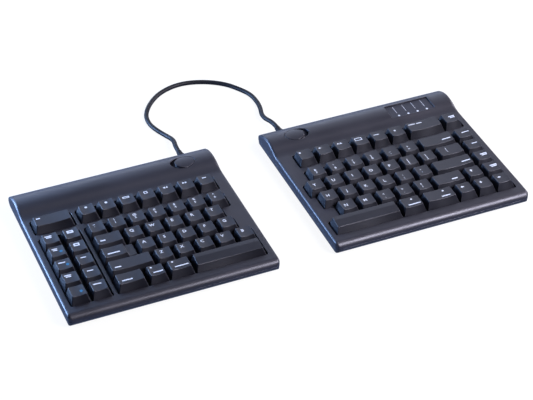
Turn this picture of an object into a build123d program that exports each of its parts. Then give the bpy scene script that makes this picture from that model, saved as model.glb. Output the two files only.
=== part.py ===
from build123d import *
import math
import os

# A split keyboard in two free-standing modules joined by one link cable.
# Lengths in millimetres. X runs along the keyboard, Y to its rear, Z up from the desk.
# The origin is on the desk, at the middle of the two modules.

# Modules: their width and depth follow from the keys and the strips round them
module_gap = 53.2
front_strip = 12.875
rear_strip = 49.225
right_block_inset = 6.3
outer_strip = 7.725
case_bottom_z = 1.5
deck_z = 13.8
wall = 2.2
floor_thickness = 1.6
lower_side_draw = 0.8
upper_side_draw = 0.3
corner_radius = 5.0
parting_share = 0.5

# Rear hump of the top case
hump_height = 5.0
crown_radius = 32.0
rear_edge_z = 8.52
crease_radius = 30.0
rear_foot_radius = 3.0

# Keys
key_pitch = 19.05
key_gap = 1.0
key_top_z = 20.0
key_base_z = 12.3
key_draw = 2.5
key_set_back = 1.5
key_wall = 1.2
key_roof = 1.4
key_travel = 3.5
dish_depth = 0.5
function_row_gap = 8.0
side_block_inset = 6.9
block_divider = 4.4
opening_margin = 0.5
step_drop = 3.4
step_share = 0.72
bar_slope_drop = 1.6
bar_crease_share = 0.45

# Guides and switch layers
stem_width = 6.4
stem_clearance = 0.15
chimney_wall = 1.0
chimney_top_clearance = 1.6
frame_plate = 1.0
frame_rim = 2.0
skirt_clearance = 0.2
back_plate_thickness = 0.7
membrane_thickness = 0.35
dome_sheet_thickness = 0.4
dome_base_radius = 4.2
dome_top_radius = 2.2
dome_squash_gap = 0.1
dome_sides = 4
post_sides = 8
cable_sides = 6
grommet_sides = 12
stack_side_inset = 4.5
stack_front_inset = 5.5
stack_rear_margin = 6.225
plate_standoff = 1.2
rest_rib_width = 2.0
rest_rib_inset = 5.0
tail_width = 14.0
tail_lap = 1.1

# Fasteners and feet
screw_radius = 1.1
screw_clearance = 0.3
screw_fit = 0.02
screw_head_radius = 2.3
screw_head_height = 1.2
screw_head_sink = 0.2
screw_length = 8.1
boss_radius = 2.7
boss_gap = 0.075
rear_screw_inset = 11.0
side_screw_inset = 13.0
foot_length = 22.0
foot_width = 9.0
foot_recess = 0.4
foot_inset_x = 22.0
foot_inset_y = 19.0

# Electronics in the hump
board_thickness = 1.0
board_pad = 0.4
board_rib_width = 2.0
board_rib_inset = 0.4
board_front_gap = 6.9
board_rear_gap = 4.4
board_boss_gap = 4.4
left_board_width = 46.0
right_board_inner_inset = 36.5
right_board_outer_inset = 8.5
connector_height = 2.0
connector_depth = 5.0
connector_margin = 0.4
battery_width = 48.0
battery_depth = 24.0
battery_height = 6.0
battery_side_gap = 3.0
battery_rear_gap = 0.4
socket_width = 8.0
socket_height = 2.8
socket_depth = 6.0
socket_wall = 0.4
socket_mouth_depth = 3.0
socket_offset = 10.0
switch_offset = 26.0
switch_travel = 3.0
switch_slot_height = 2.4
switch_knob_width = 3.0
switch_proud = 0.9
switch_body_depth = 3.0
fit_clearance = 0.15

# Indicator window on the right hump
window_width = 46.0
window_depth = 19.0
window_side_inset = 44.2
window_from_rear = 24.5
window_z = 16.4
window_thickness = 1.2
window_ledge = 1.5
lamp_size = 2.0
lamp_height = 1.2
lamp_pitch = 10.0
lamp_count = 4
pipe_bar = 1.0

# Oval caps near the inner rear corners
cap_length = 24.0
cap_width = 17.0
cap_inner_inset = 31.5
cap_from_rear = 23.5
cap_thickness = 1.6
cap_gap = 0.3
crescent = 2.6
cap_foot = 5.0
oval_sides = 20

# Link cable
cable_diameter = 4.5
cable_exit_z = 6.5
cable_arc_share = 0.45
left_exit_inset = 23.85
right_exit_inset = 24.55
grommet_length = 8.0
grommet_inside = 4.0
grommet_radius = 3.0
grommet_tip_radius = 2.6
grommet_flange = 1.0
grommet_flange_radius = 3.3

overrun = 5.0

# Key blocks: rows from the front, widths in shares of the key pitch
row_count = 6
side_row_count = 5
side_columns_share = 2.0
right_block_share = 9.5
function_row = row_count - 1

# Derived places
first_row_inset = front_strip + opening_margin + key_pitch / 2
left_block_inset = side_block_inset + side_columns_share * key_pitch + block_divider
module_width = right_block_inset + right_block_share * key_pitch + outer_strip
module_depth = front_strip + row_count * key_pitch + function_row_gap + 2 * opening_margin + rear_strip
crown_from_rear = math.sqrt(crown_radius ** 2 - (crown_radius + rear_edge_z - deck_z - hump_height) ** 2)
front_y = -module_depth / 2
rear_y = module_depth / 2
left_x = -module_gap / 2 - module_width
right_x = module_gap / 2
window_x = right_x + module_width - window_side_inset
nose_radius = (deck_z - case_bottom_z) / 2
parting_z = case_bottom_z + (deck_z - case_bottom_z) * parting_share
floor_z = case_bottom_z + floor_thickness
crown_y = rear_y - crown_from_rear
peak_z = deck_z + hump_height
crown_z = peak_z - crown_radius
ceiling_z = deck_z - wall
skirt_low_z = key_base_z - key_travel
frame_top_z = skirt_low_z - skirt_clearance
frame_low_z = frame_top_z - frame_plate
frame_rest_height = key_travel + dome_squash_gap
chimney_top_z = key_top_z - key_travel - key_roof - chimney_top_clearance
plate_z = floor_z + plate_standoff
membrane_z = plate_z + back_plate_thickness
domes_z = membrane_z + membrane_thickness
dome_rise_z = domes_z + dome_sheet_thickness
stem_low_z = dome_rise_z + frame_rest_height
chimney_inner = stem_width + 2 * stem_clearance
chimney_outer = chimney_inner + 2 * chimney_wall
board_z = floor_z + board_pad
board_top_z = board_z + board_thickness
stack_front_y = front_y + stack_front_inset
function_row_y = front_y + first_row_inset + function_row * key_pitch + function_row_gap
stack_rear_y = function_row_y + key_pitch / 2 + stack_rear_margin
board_front_y = stack_rear_y + board_front_gap
board_rear_y = rear_y - wall - board_rear_gap
tail_length = board_front_gap + tail_lap
front_screw_inset = front_strip - boss_radius - boss_gap

# Key rows: name, row from the front, left edge and widths in shares of the key pitch
letter_share = 1.0
left_key_shares = [
    ("escape_key", 5, 0.0, [letter_share]),
    ("left_function_keys", 5, 1.0, [letter_share] * 6),
    ("left_number_keys", 4, 0.0, [letter_share] * 7),
    ("tab_key", 3, 0.0, [1.5]),
    ("left_top_letter_keys", 3, 1.5, [letter_share] * 5),
    ("caps_lock_key", 2, 0.0, [1.75]),
    ("left_home_letter_keys", 2, 1.75, [letter_share] * 5),
    ("left_shift_key", 1, 0.0, [2.25]),
    ("left_bottom_letter_keys", 1, 2.25, [letter_share] * 5),
    ("left_modifier_keys", 0, 0.0, [1.5, letter_share, 1.25]),
    ("left_space_bar", 0, 3.75, [3.5]),
]
right_key_shares = [
    ("right_function_keys", 5, 7.0, [letter_share] * 6),
    ("right_wide_function_key", 5, 13.0, [2.0]),
    ("right_number_keys", 4, 7.0, [letter_share] * 6),
    ("backspace_key", 4, 13.0, [2.0]),
    ("right_top_letter_keys", 3, 6.5, [letter_share] * 7),
    ("backslash_key", 3, 13.5, [1.5]),
    ("right_home_letter_keys", 2, 6.75, [letter_share] * 6),
    ("return_key", 2, 12.75, [2.25]),
    ("right_bottom_letter_keys", 1, 7.25, [letter_share] * 5),
    ("right_shift_key", 1, 12.25, [1.75]),
    ("right_space_bar", 0, 6.5, [3.5]),
    ("right_modifier_keys", 0, 10.0, [1.25, 1.75]),
]
side_column_shares = {"side_outer_keys": 0.0, "side_inner_keys": 1.0}
right_first_share = 6.5
nav_share = 15.0


def row_y(row):
    """Middle of a row's key skirts, measured on the desk."""
    gap = function_row_gap if row == function_row else 0
    return front_y + first_row_inset + row * key_pitch + gap


def cell(x0, share, row, width_share):
    """Middle and width of one key cell."""
    x = x0 + (share + width_share / 2) * key_pitch
    return x, row_y(row), width_share * key_pitch


def run_cells(x0, row, share, widths):
    cells = []
    for width_share in widths:
        cells.append(cell(x0, share, row, width_share))
        share += width_share
    return cells


def key_cells():
    """Cells of every key node, by node name, for the left and the right module."""
    left, right = {}, {}
    x0 = left_x + left_block_inset
    for name, row, share, widths in left_key_shares:
        left[name] = run_cells(x0, row, share, widths)
    x0 = left_x + side_block_inset
    for name, share in side_column_shares.items():
        left[name] = [cell(x0, share, row, letter_share) for row in range(side_row_count)]
    left["wide_corner_key"] = [cell(x0, 0, function_row, side_columns_share)]
    x0 = right_x + right_block_inset - right_first_share * key_pitch
    for name, row, share, widths in right_key_shares:
        right[name] = run_cells(x0, row, share, widths)
    right["navigation_keys"] = [cell(x0, nav_share, row, letter_share) for row in range(1, row_count)]
    arrows = [cell(x0, nav_share - 1, 1, letter_share)]
    arrows += [cell(x0, nav_share - 2 + step, 0, letter_share) for step in range(3)]
    right["arrow_keys"] = arrows
    return left, right


def block(x0, x1, y0, y1, z0, z1):
    """A plain block between two corners."""
    return Pos((x0 + x1) / 2, (y0 + y1) / 2, (z0 + z1) / 2) * Box(x1 - x0, y1 - y0, z1 - z0)


def upright_block(x, y, width, depth, z0, z1):
    """A plain block round an upright middle line."""
    return block(x - width / 2, x + width / 2, y - depth / 2, y + depth / 2, z0, z1)


def module_slice(x0, z0, z1):
    """A slice of space over a whole module, for cutting its shells apart."""
    return block(x0 - overrun, x0 + module_width + overrun, front_y - overrun, rear_y + overrun, z0, z1)


def polyhedron(low, high):
    """A closed solid between two outlines with the same number of corners."""
    count = len(low)
    faces = [Face(Wire.make_polygon(low[::-1])), Face(Wire.make_polygon(high))]
    for i in range(count):
        j = (i + 1) % count
        faces.append(Face(Wire.make_polygon([low[i], low[j], high[j], high[i]])))
    return Solid(Shell(faces))


def rectangle_points(width, depth, y, z):
    w, d = width / 2, depth / 2
    return [(-w, y - d, z), (w, y - d, z), (w, y + d, z), (-w, y + d, z)]


def case_outline(inset, floor_inset):
    """Side view of a module: bullnose front, flat deck, crowned hump, upright rear."""
    top = deck_z - inset
    low = case_bottom_z + floor_inset
    nose = (top - low) / 2
    rear = rear_y - inset
    crown = crown_radius - inset
    crease = crease_radius + inset
    rise = top + crease - crown_z
    reach = math.sqrt((crown + crease) ** 2 - rise ** 2)
    crease_y = crown_y - reach
    meet_share = crease / (crown + crease)
    meet = (crease_y + reach * meet_share, top + crease - rise * meet_share)
    crown_end_z = crown_z + math.sqrt(crown ** 2 - (rear - crown_y) ** 2)
    foot = rear_foot_radius - inset
    nose_y = front_y + nose_radius
    edges = [
        ThreePointArc((nose_y, low), (nose_y - nose, low + nose), (nose_y, top)),
        Line((nose_y, top), (crease_y, top)),
        RadiusArc((crease_y, top), meet, -crease),
        RadiusArc(meet, (rear, crown_end_z), crown),
        Line((rear, crown_end_z), (rear, low + foot)),
        RadiusArc((rear, low + foot), (rear - foot, low), foot),
        Line((rear - foot, low), (nose_y, low)),
    ]
    return Plane.YZ * make_face(Wire(edges))


def side_outline(inset):
    """Front view of a module: widest at the parting line, almost upright above it, drawn in below."""
    half = module_width / 2 - inset
    slope_share = upper_side_draw / (deck_z - parting_z)
    high = peak_z + overrun
    top_half = half - (high - parting_z) * slope_share
    low_half = half - lower_side_draw
    points = [(-low_half, case_bottom_z), (low_half, case_bottom_z), (half, parting_z), (top_half, high),
              (-top_half, high), (-half, parting_z)]
    return Plane.XZ * make_face(Polyline(*points, close=True))


def module_form(inset, floor_inset):
    """The module's outer form, or its inside when inset by the wall and the floor."""
    length = extrude(case_outline(inset, floor_inset), module_width / 2, both=True)
    across = extrude(side_outline(inset), module_depth, both=True)
    return length & across


def rounded_module():
    """The outer form with its four upright corners rounded."""
    plan = RectangleRounded(module_width, module_depth, corner_radius)
    return module_form(0, 0) & extrude(plan, peak_z + overrun)


def key_openings(cells):
    """The space that the keys need through the deck, one block for each run of touching cells."""
    runs = []
    for x, y, width in sorted(cells, key=lambda one: (round(one[1]), one[0])):
        x0, x1 = x - width / 2, x + width / 2
        if runs and runs[-1][2] == y and x0 - runs[-1][1] < opening_margin:
            runs[-1][1] = x1
        else:
            runs.append([x0, x1, y])
    half = key_pitch / 2 + opening_margin
    return [block(x0 - opening_margin, x1 + opening_margin, y - half, y + half, frame_top_z, peak_z + overrun)
            for x0, x1, y in runs]


def screw_places(x0):
    """Screw places in one module: two through the front strip and two in the hump."""
    xs = [x0 + side_screw_inset, x0 + module_width - side_screw_inset]
    front = [(x, front_y + front_screw_inset) for x in xs]
    rear = [(x, rear_y - rear_screw_inset) for x in xs]
    return front, rear


def post(x, y, z0, z1, radius):
    """An upright round post or hole, faceted."""
    return Pos(x, y, z0) * extrude(RegularPolygon(radius, post_sides), z1 - z0)


def oval(length, width, z0, z1):
    """An upright prism on an oval, faceted."""
    turns = [math.tau * (i + 0.5) / oval_sides for i in range(oval_sides)]
    rim = [(length / 2 * math.cos(turn), width / 2 * math.sin(turn)) for turn in turns]
    return Pos(0, 0, z0) * extrude(make_face(Polyline(*rim, close=True)), z1 - z0)


def oval_place(x0, side):
    """Middle of the oval cap; side is 1 where the inner edge is at the right."""
    inner = x0 + module_width if side > 0 else x0
    return inner - side * cap_inner_inset, rear_y - cap_from_rear


def top_case(x0, cells, side, windowed):
    middle = x0 + module_width / 2
    outer = Pos(middle, 0, 0) * rounded_module()
    inner = Pos(middle, 0, 0) * module_form(wall, floor_thickness)
    shell = outer - inner - module_slice(x0, -overrun, parting_z)
    front, rear = screw_places(x0)
    bosses = [post(x, y, frame_top_z, ceiling_z, boss_radius) for x, y in front]
    bosses += [post(x, y, parting_z, peak_z, boss_radius) & outer for x, y in rear]
    pilots = [post(x, y, parting_z - overrun, plate_z + screw_length, screw_radius + screw_fit)
              for x, y in front + rear]
    ox, oy = oval_place(x0, side)
    seat_z = peak_z - cap_thickness - wall
    seat = upright_block(ox, oy, cap_length + 2 * wall, cap_width + 2 * wall, seat_z - wall, peak_z)
    adds = bosses + [seat & outer]
    cuts = key_openings(cells) + pilots
    cuts.append(Pos(ox, oy, 0) * oval(cap_length, cap_width, seat_z, peak_z + overrun))
    foot_hole = cap_foot + 2 * cap_gap
    cuts.append(upright_block(ox, oy, foot_hole, foot_hole, seat_z - wall - overrun, seat_z))
    if windowed:
        wx, wy = window_x, rear_y - window_from_rear
        w, d = window_width, window_depth
        low = window_z - window_thickness
        adds.append(upright_block(wx, wy, w + 2 * wall, d + 2 * wall, low - wall, peak_z) & outer)
        cuts.append(upright_block(wx, wy, w, d, low, peak_z + overrun))
        w, d = w - 2 * window_ledge, d - 2 * window_ledge
        cuts.append(upright_block(wx, wy, w, d, low - wall - overrun, low))
    cuts.append(grommet_hole(side))
    return shell + adds - cuts


def exit_x(side):
    inner = -module_gap / 2 if side > 0 else module_gap / 2
    inset = left_exit_inset if side > 0 else right_exit_inset
    return inner - side * inset


def rear_section(x, y, radius):
    """A faceted round section square to the cable's exit."""
    plane = Plane(origin=(x, y, cable_exit_z), x_dir=(1, 0, 0), z_dir=(0, 1, 0))
    return plane * RegularPolygon(radius, grommet_sides)


def grommet_hole(side):
    start = rear_y - wall - overrun
    return extrude(rear_section(exit_x(side), start, grommet_radius), rear_y + overrun - start)


def bottom_case(x0, side, powered):
    middle = x0 + module_width / 2
    outer = Pos(middle, 0, 0) * rounded_module()
    inner = Pos(middle, 0, 0) * module_form(wall, floor_thickness)
    tray = outer - inner - module_slice(x0, parting_z, peak_z + overrun)
    front, rear = screw_places(x0)
    adds = [post(x, y, floor_z, plate_z, boss_radius) for x, y in front]
    adds += [post(x, y, floor_z, parting_z, boss_radius) for x, y in rear]
    board_x0, board_x1 = board_span(x0, side)
    for x in (board_x0 + board_rib_inset, board_x1 - board_rib_inset - board_rib_width):
        adds.append(block(x, x + board_rib_width, board_front_y, board_rear_y, floor_z, board_z))
    rest_y = stack_rear_y - rest_rib_width
    rib_length = module_width - 2 * (stack_side_inset + rest_rib_inset)
    rest_y -= rest_rib_width / 2
    adds.append(upright_block(middle, rest_y, rib_length, rest_rib_width, floor_z, plate_z))
    seat_z = case_bottom_z + screw_head_height + screw_head_sink
    cuts = [post(x, y, 0, seat_z, screw_head_radius + screw_clearance) for x, y in front + rear]
    cuts += [post(x, y, 0, parting_z + overrun, screw_radius + screw_clearance) for x, y in front + rear]
    cuts += feet(x0)
    cuts.append(grommet_hole(side))
    if powered:
        cuts.append(socket_block(middle, fit_clearance, rear_y + overrun))
        x = middle + switch_offset
        half = (switch_knob_width + switch_travel) / 2 + fit_clearance
        mid = board_top_z + socket_height / 2
        cuts.append(block(x - half, x + half, rear_y - wall - overrun, rear_y + overrun,
                          mid - switch_slot_height / 2, mid + switch_slot_height / 2))
    return tray + adds - cuts


def board_span(x0, side):
    """Left and right edges of the circuit board in a module."""
    if side > 0:
        x1 = x0 + module_width - side_screw_inset - boss_radius - board_boss_gap
        return x1 - left_board_width, x1
    return x0 + right_board_inner_inset, x0 + module_width - right_board_outer_inset


def socket_block(middle, clearance, rear):
    """The charge socket's outer block, or the space for it, up to a rear face."""
    w = socket_width / 2 + clearance
    x = middle + socket_offset
    return block(x - w, x + w, rear_y - socket_depth - clearance, rear,
                 board_top_z - clearance, board_top_z + socket_height + clearance)


def foot_places(x0):
    xs = (x0 + foot_inset_x, x0 + module_width - foot_inset_x)
    ys = (front_y + foot_inset_y, rear_y - foot_inset_y)
    return [(x, y) for x in xs for y in ys]


def feet(x0):
    top = case_bottom_z + foot_recess
    return [upright_block(x, y, foot_length, foot_width, 0, top) for x, y in foot_places(x0)]


def case_screws(x0):
    seat_z = case_bottom_z + screw_head_height + screw_head_sink
    front, rear = screw_places(x0)
    screws = []
    for x, y in front + rear:
        head = post(x, y, seat_z - screw_head_height, seat_z, screw_head_radius)
        screws.append(head + post(x, y, seat_z, seat_z + screw_length, screw_radius))
    return screws


def stack_sheet(x0, z0, z1):
    x1 = x0 + module_width - stack_side_inset
    return block(x0 + stack_side_inset, x1, stack_front_y, stack_rear_y, z0, z1)


def stack_holes(x0):
    front, _ = screw_places(x0)
    return [post(x, y, 0, peak_z, screw_radius + screw_clearance) for x, y in front]


def back_plate(x0):
    return stack_sheet(x0, plate_z, membrane_z) - stack_holes(x0)


def membrane(x0, side):
    sheet = stack_sheet(x0, membrane_z, domes_z) - stack_holes(x0)
    x = sum(board_span(x0, side)) / 2
    return sheet + block(x - tail_width / 2, x + tail_width / 2, stack_rear_y, stack_rear_y + tail_length,
                         membrane_z, domes_z)


def dome(x, y):
    """One rubber dome, faceted, from the sheet up to its key's stem."""
    turns = [math.tau * (i + 0.5) / dome_sides for i in range(dome_sides)]
    rings = []
    for radius, z in ((dome_base_radius, dome_rise_z), (dome_top_radius, stem_low_z)):
        rings.append([(x + radius * math.cos(turn), y + radius * math.sin(turn), z) for turn in turns])
    return polyhedron(*rings)


def dome_sheet(x0, cells):
    sheet = stack_sheet(x0, domes_z, dome_rise_z) - stack_holes(x0)
    return sheet + [dome(x, y) for x, y, _ in cells]


def key_frame(x0, cells):
    plate = stack_sheet(x0, frame_low_z, frame_top_z)
    edge = stack_sheet(x0, dome_rise_z, frame_low_z)
    edge -= block(x0 + stack_side_inset + frame_rim, x0 + module_width - stack_side_inset - frame_rim,
                  stack_front_y + frame_rim, stack_rear_y - frame_rim, 0, peak_z)
    front, _ = screw_places(x0)
    posts = [post(x, y, dome_rise_z, frame_low_z, boss_radius) for x, y in front]
    outer, inner = chimney_outer, chimney_inner
    tubes = [upright_block(x, y, outer, outer, frame_low_z, chimney_top_z) for x, y, _ in cells]
    bores = [upright_block(x, y, inner, inner, 0, peak_z) for x, y, _ in cells]
    return plate + [edge] + posts + tubes - bores - stack_holes(x0)


def cap_frustum(width, inset, roof):
    """The cap's drawn form at one width; inset gives the inside."""
    rise = key_top_z - key_base_z
    share = (rise - roof) / rise
    skirt_w = width - key_gap - 2 * inset
    skirt_d = key_pitch - key_gap - 2 * inset
    draw = 2 * key_draw * share
    low = rectangle_points(skirt_w, skirt_d, 0, key_base_z)
    high = rectangle_points(skirt_w - draw, skirt_d - draw, key_set_back * share, key_top_z - roof)
    return polyhedron(low, high)


def keycap(width, form):
    """One key: drawn cap with a dished or sloped top, hollow inside, on a square stem."""
    top_w = width - key_gap - 2 * key_draw
    top_d = key_pitch - key_gap - 2 * key_draw
    hollow = cap_frustum(width, key_wall, key_roof)
    if form == "bar":
        crease_y = key_set_back + top_d * (0.5 - bar_crease_share)
        front_y0 = key_set_back - key_pitch
        fall = bar_slope_drop * (crease_y - front_y0) / (top_d / 2)
        corners = [(crease_y, key_top_z), (front_y0, key_top_z), (front_y0, key_top_z - fall)]
        sculpt = extrude(Plane.YZ * make_face(Polyline(*corners, close=True)), width, both=True)
        hollow -= Pos(0, 0, -key_roof) * sculpt
    else:
        dished = top_w * step_share if form == "stepped" else top_w
        radius = dished ** 2 / (8 * dish_depth) + dish_depth / 2
        scoop = Rot(90, 0, 0) * Cylinder(radius, 2 * key_pitch)
        sculpt = Pos((dished - top_w) / 2, 0, key_top_z + radius - dish_depth) * scoop
    if form == "stepped":
        edge = top_w * (step_share - 0.5)
        shelf_z = key_top_z - step_drop
        hollow -= block(edge - key_wall, width, -key_pitch, key_pitch, shelf_z - key_roof, key_top_z)
        sculpt += block(edge, width, -key_pitch, key_pitch, shelf_z, key_top_z + overrun)
    stem = upright_block(0, 0, stem_width, stem_width, stem_low_z, key_top_z - key_roof / 2)
    return cap_frustum(width, 0, 0) - hollow + stem - sculpt


def keys(name, cells):
    form = {"caps_lock_key": "stepped", "left_space_bar": "bar", "right_space_bar": "bar"}.get(name, "dished")
    made = {}
    placed = []
    for x, y, width in cells:
        if width not in made:
            made[width] = keycap(width, form)
        placed.append(Pos(x, y, 0) * made[width])
    return placed


def oval_cap(x0, side):
    """The plug over the joining socket: follows the hump, with a finger crescent at its outer end."""
    ox, oy = oval_place(x0, side)
    outer = Pos(x0 + module_width / 2, 0, 0) * rounded_module()
    seat_z = peak_z - cap_thickness - wall
    body = Pos(ox, oy, 0) * oval(cap_length - 2 * cap_gap, cap_width - 2 * cap_gap, seat_z, peak_z)
    body -= Pos(ox, oy, 0) * (oval(cap_length, cap_width, seat_z + wall / 2, peak_z)
                              - Pos(side * crescent, 0, 0) * oval(cap_length, cap_width, 0, peak_z))
    foot = upright_block(ox, oy, cap_foot, cap_foot, seat_z - wall, seat_z)
    return (body & outer) + foot


def circuit_board(x0, side):
    bx0, bx1 = board_span(x0, side)
    board = block(bx0, bx1, board_front_y, board_rear_y, board_z, board_top_z)
    x = (bx0 + bx1) / 2
    y = stack_rear_y + tail_length
    half = tail_width / 2 + connector_margin
    _, rear = screw_places(x0)
    holes = [post(x, y, 0, peak_z, boss_radius + screw_clearance) for x, y in rear]
    connector = block(x - half, x + half, y, y + connector_depth, board_top_z, board_top_z + connector_height)
    return board + connector - holes


def battery_pack():
    x0 = board_span(right_x, -1)[0] + battery_side_gap
    y1 = board_rear_y - battery_rear_gap
    top = board_top_z + battery_height
    return block(x0, x0 + battery_width, y1 - battery_depth, y1, board_top_z, top)


def charge_socket(middle):
    x = middle + socket_offset
    w = socket_width / 2 - socket_wall
    mouth = block(x - w, x + w, rear_y - socket_mouth_depth, rear_y + overrun,
                  board_top_z + socket_wall, board_top_z + socket_height - socket_wall)
    return socket_block(middle, 0, rear_y) - mouth


def power_switch(middle):
    """Slide knob at its off end, with its foot in the slot of the rear wall."""
    x1 = middle + switch_offset + switch_knob_width / 2 - switch_travel / 2
    mid = board_top_z + socket_height / 2
    half = switch_slot_height / 2 - fit_clearance
    return block(x1 - switch_knob_width, x1, rear_y - wall - fit_clearance, rear_y + switch_proud, mid - half,
                 mid + half)


def switch_body(middle):
    x = middle + switch_offset
    half = switch_knob_width + switch_travel
    y1 = rear_y - wall - fit_clearance * 2
    return block(x - half, x + half, y1 - switch_body_depth, y1, board_top_z, board_top_z + socket_height)


def lamp_xs():
    return [window_x + (i - (lamp_count - 1) / 2) * lamp_pitch for i in range(lamp_count)]


def indicator_lamps():
    y = rear_y - window_from_rear
    top = board_top_z + lamp_height
    return [upright_block(x, y, lamp_size, lamp_size, board_top_z, top) for x in lamp_xs()]


def light_pipes():
    y = rear_y - window_from_rear
    xs = lamp_xs()
    top = window_z - window_thickness
    bar_length = xs[-1] - xs[0] + lamp_size
    bar = upright_block(window_x, y, bar_length, lamp_size, top - pipe_bar, top)
    return bar + [upright_block(x, y, lamp_size, lamp_size, board_top_z + lamp_height, top) for x in xs]


def indicator_window():
    y = rear_y - window_from_rear
    width, depth = window_width - 2 * fit_clearance, window_depth - 2 * fit_clearance
    return upright_block(window_x, y, width, depth, window_z - window_thickness, window_z)


def cable_grommet(side):
    """Rubber sleeve: flange inside the wall, neck in the wall, taper behind it."""
    x = exit_x(side)
    inside = rear_y - wall - grommet_inside
    flange = extrude(rear_section(x, inside, grommet_flange_radius), grommet_flange)
    neck = extrude(rear_section(x, inside, grommet_radius), rear_y - inside)
    tip = rear_section(x, rear_y + grommet_length, grommet_tip_radius)
    return flange + neck + loft([rear_section(x, rear_y, grommet_radius), tip], ruled=True)


# Route of the link cable from the left grommet to the right one, chosen by hand
cable_route = [
    (exit_x(1), rear_y + grommet_length, cable_exit_z),
    (-50.45, 109.7, 6.5),
    (-47.25, 123.0, 4.3),
    (-51.25, 136.0, 2.25),
    (-56.75, 148.8, 2.25),
    (-59.55, 161.6, 2.25),
    (-57.05, 176.7, 2.25),
    (-45.95, 193.5, 2.25),
    (-29.95, 207.0, 2.25),
    (-8.25, 213.3, 2.25),
    (14.05, 208.5, 2.25),
    (34.25, 195.9, 2.25),
    (46.25, 178.4, 2.25),
    (51.95, 166.1, 2.25),
    (52.35, 146.0, 2.25),
    (45.75, 125.5, 4.3),
    (51.15, 109.7, 6.5),
    (exit_x(-1), rear_y + grommet_length, cable_exit_z),
]


def cable_radii(points):
    """Largest arc that each corner's two runs allow."""
    radii = []
    for a, b, c in zip(points, points[1:], points[2:]):
        before, after = Vector(b) - Vector(a), Vector(c) - Vector(b)
        half = math.radians(before.get_angle(after)) / 2
        radii.append(cable_arc_share * min(before.length, after.length) / math.tan(half))
    return radii


def link_cable():
    radii = cable_radii(cable_route)
    path = FilletPolyline(*cable_route, radius=radii)
    section = RegularPolygon(cable_diameter / 2, cable_sides)
    tube = sweep(Plane(origin=path @ 0, z_dir=path % 0) * section, path)
    volume_share = tube.volume / (section.area * path.length)
    print("cable length", round(path.length, 1), "volume share", round(volume_share, 4))
    print("cable radii", [round(r, 1) for r in radii])
    return tube


def save(name, shapes):
    solids = []
    for shape in (shapes if isinstance(shapes, list) else [shapes]):
        solids += list(shape.solids())
    whole = solids[0] if len(solids) == 1 else Compound(children=solids)
    whole.label = name
    export_step(whole, f"parts/{name}.step")


def build():
    os.makedirs("parts", exist_ok=True)
    left, right = key_cells()
    for label, x0, side, nodes in (("left", left_x, 1, left), ("right", right_x, -1, right)):
        cells = [one for group in nodes.values() for one in group]
        powered = side < 0
        save(f"{label}_top_case", top_case(x0, cells, side, powered))
        save(f"{label}_bottom_case", bottom_case(x0, side, powered))
        save(f"{label}_key_frame", key_frame(x0, cells))
        save(f"{label}_dome_sheet", dome_sheet(x0, cells))
        save(f"{label}_membrane", membrane(x0, side))
        save(f"{label}_back_plate", back_plate(x0))
        save(f"{label}_circuit_board", circuit_board(x0, side))
        save(f"{label}_case_screws", case_screws(x0))
        save(f"{label}_feet", feet(x0))
        save(f"{label}_oval_cap", oval_cap(x0, side))
        save(f"{label}_cable_grommet", cable_grommet(side))
        for name, group in nodes.items():
            save(name, keys(name, group))
    middle = right_x + module_width / 2
    save("battery_pack", battery_pack())
    save("charge_socket", charge_socket(middle))
    save("power_switch", power_switch(middle))
    save("switch_body", switch_body(middle))
    save("indicator_lamps", indicator_lamps())
    save("light_pipes", light_pipes())
    save("indicator_window", indicator_window())
    save("link_cable", link_cable())


build()
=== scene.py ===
"""Dresses a split keyboard of two modules: cases, sculpted keys, link cable, and a plain studio."""
import math
from collections import namedtuple

import bmesh
import bpy
import numpy
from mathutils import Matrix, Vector
from mathutils.geometry import delaunay_2d_cdt


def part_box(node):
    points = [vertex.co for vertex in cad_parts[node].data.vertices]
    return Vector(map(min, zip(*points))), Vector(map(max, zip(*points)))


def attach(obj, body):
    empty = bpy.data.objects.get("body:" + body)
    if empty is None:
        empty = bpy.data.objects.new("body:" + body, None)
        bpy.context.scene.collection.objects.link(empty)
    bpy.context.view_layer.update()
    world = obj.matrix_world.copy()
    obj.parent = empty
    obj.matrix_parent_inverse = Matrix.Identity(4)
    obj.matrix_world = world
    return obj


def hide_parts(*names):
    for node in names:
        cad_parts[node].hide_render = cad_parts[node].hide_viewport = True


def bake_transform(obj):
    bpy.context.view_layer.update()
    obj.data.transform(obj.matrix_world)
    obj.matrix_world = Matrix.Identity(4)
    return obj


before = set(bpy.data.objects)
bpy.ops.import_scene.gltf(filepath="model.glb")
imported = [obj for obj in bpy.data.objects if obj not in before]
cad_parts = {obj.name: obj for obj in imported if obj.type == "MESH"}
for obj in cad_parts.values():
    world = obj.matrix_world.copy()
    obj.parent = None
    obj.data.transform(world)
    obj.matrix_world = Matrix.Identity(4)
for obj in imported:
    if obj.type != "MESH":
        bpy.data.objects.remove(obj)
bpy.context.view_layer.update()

bl_info = {
    "name": "Split Keyboard",
    "version": (1, 0, 0),
    "blender": (4, 5, 0),
    "location": "View3D > Sidebar > Keyboard",
    "description": "Builds the visible pieces of a split keyboard round its packed frame",
    "category": "Object",
}

MM = 0.001
RIGHT_ANGLE = math.pi / 2
Y_UP = Vector((0, 1, 0))
Z_UP = Vector((0, 0, 1))

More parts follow.
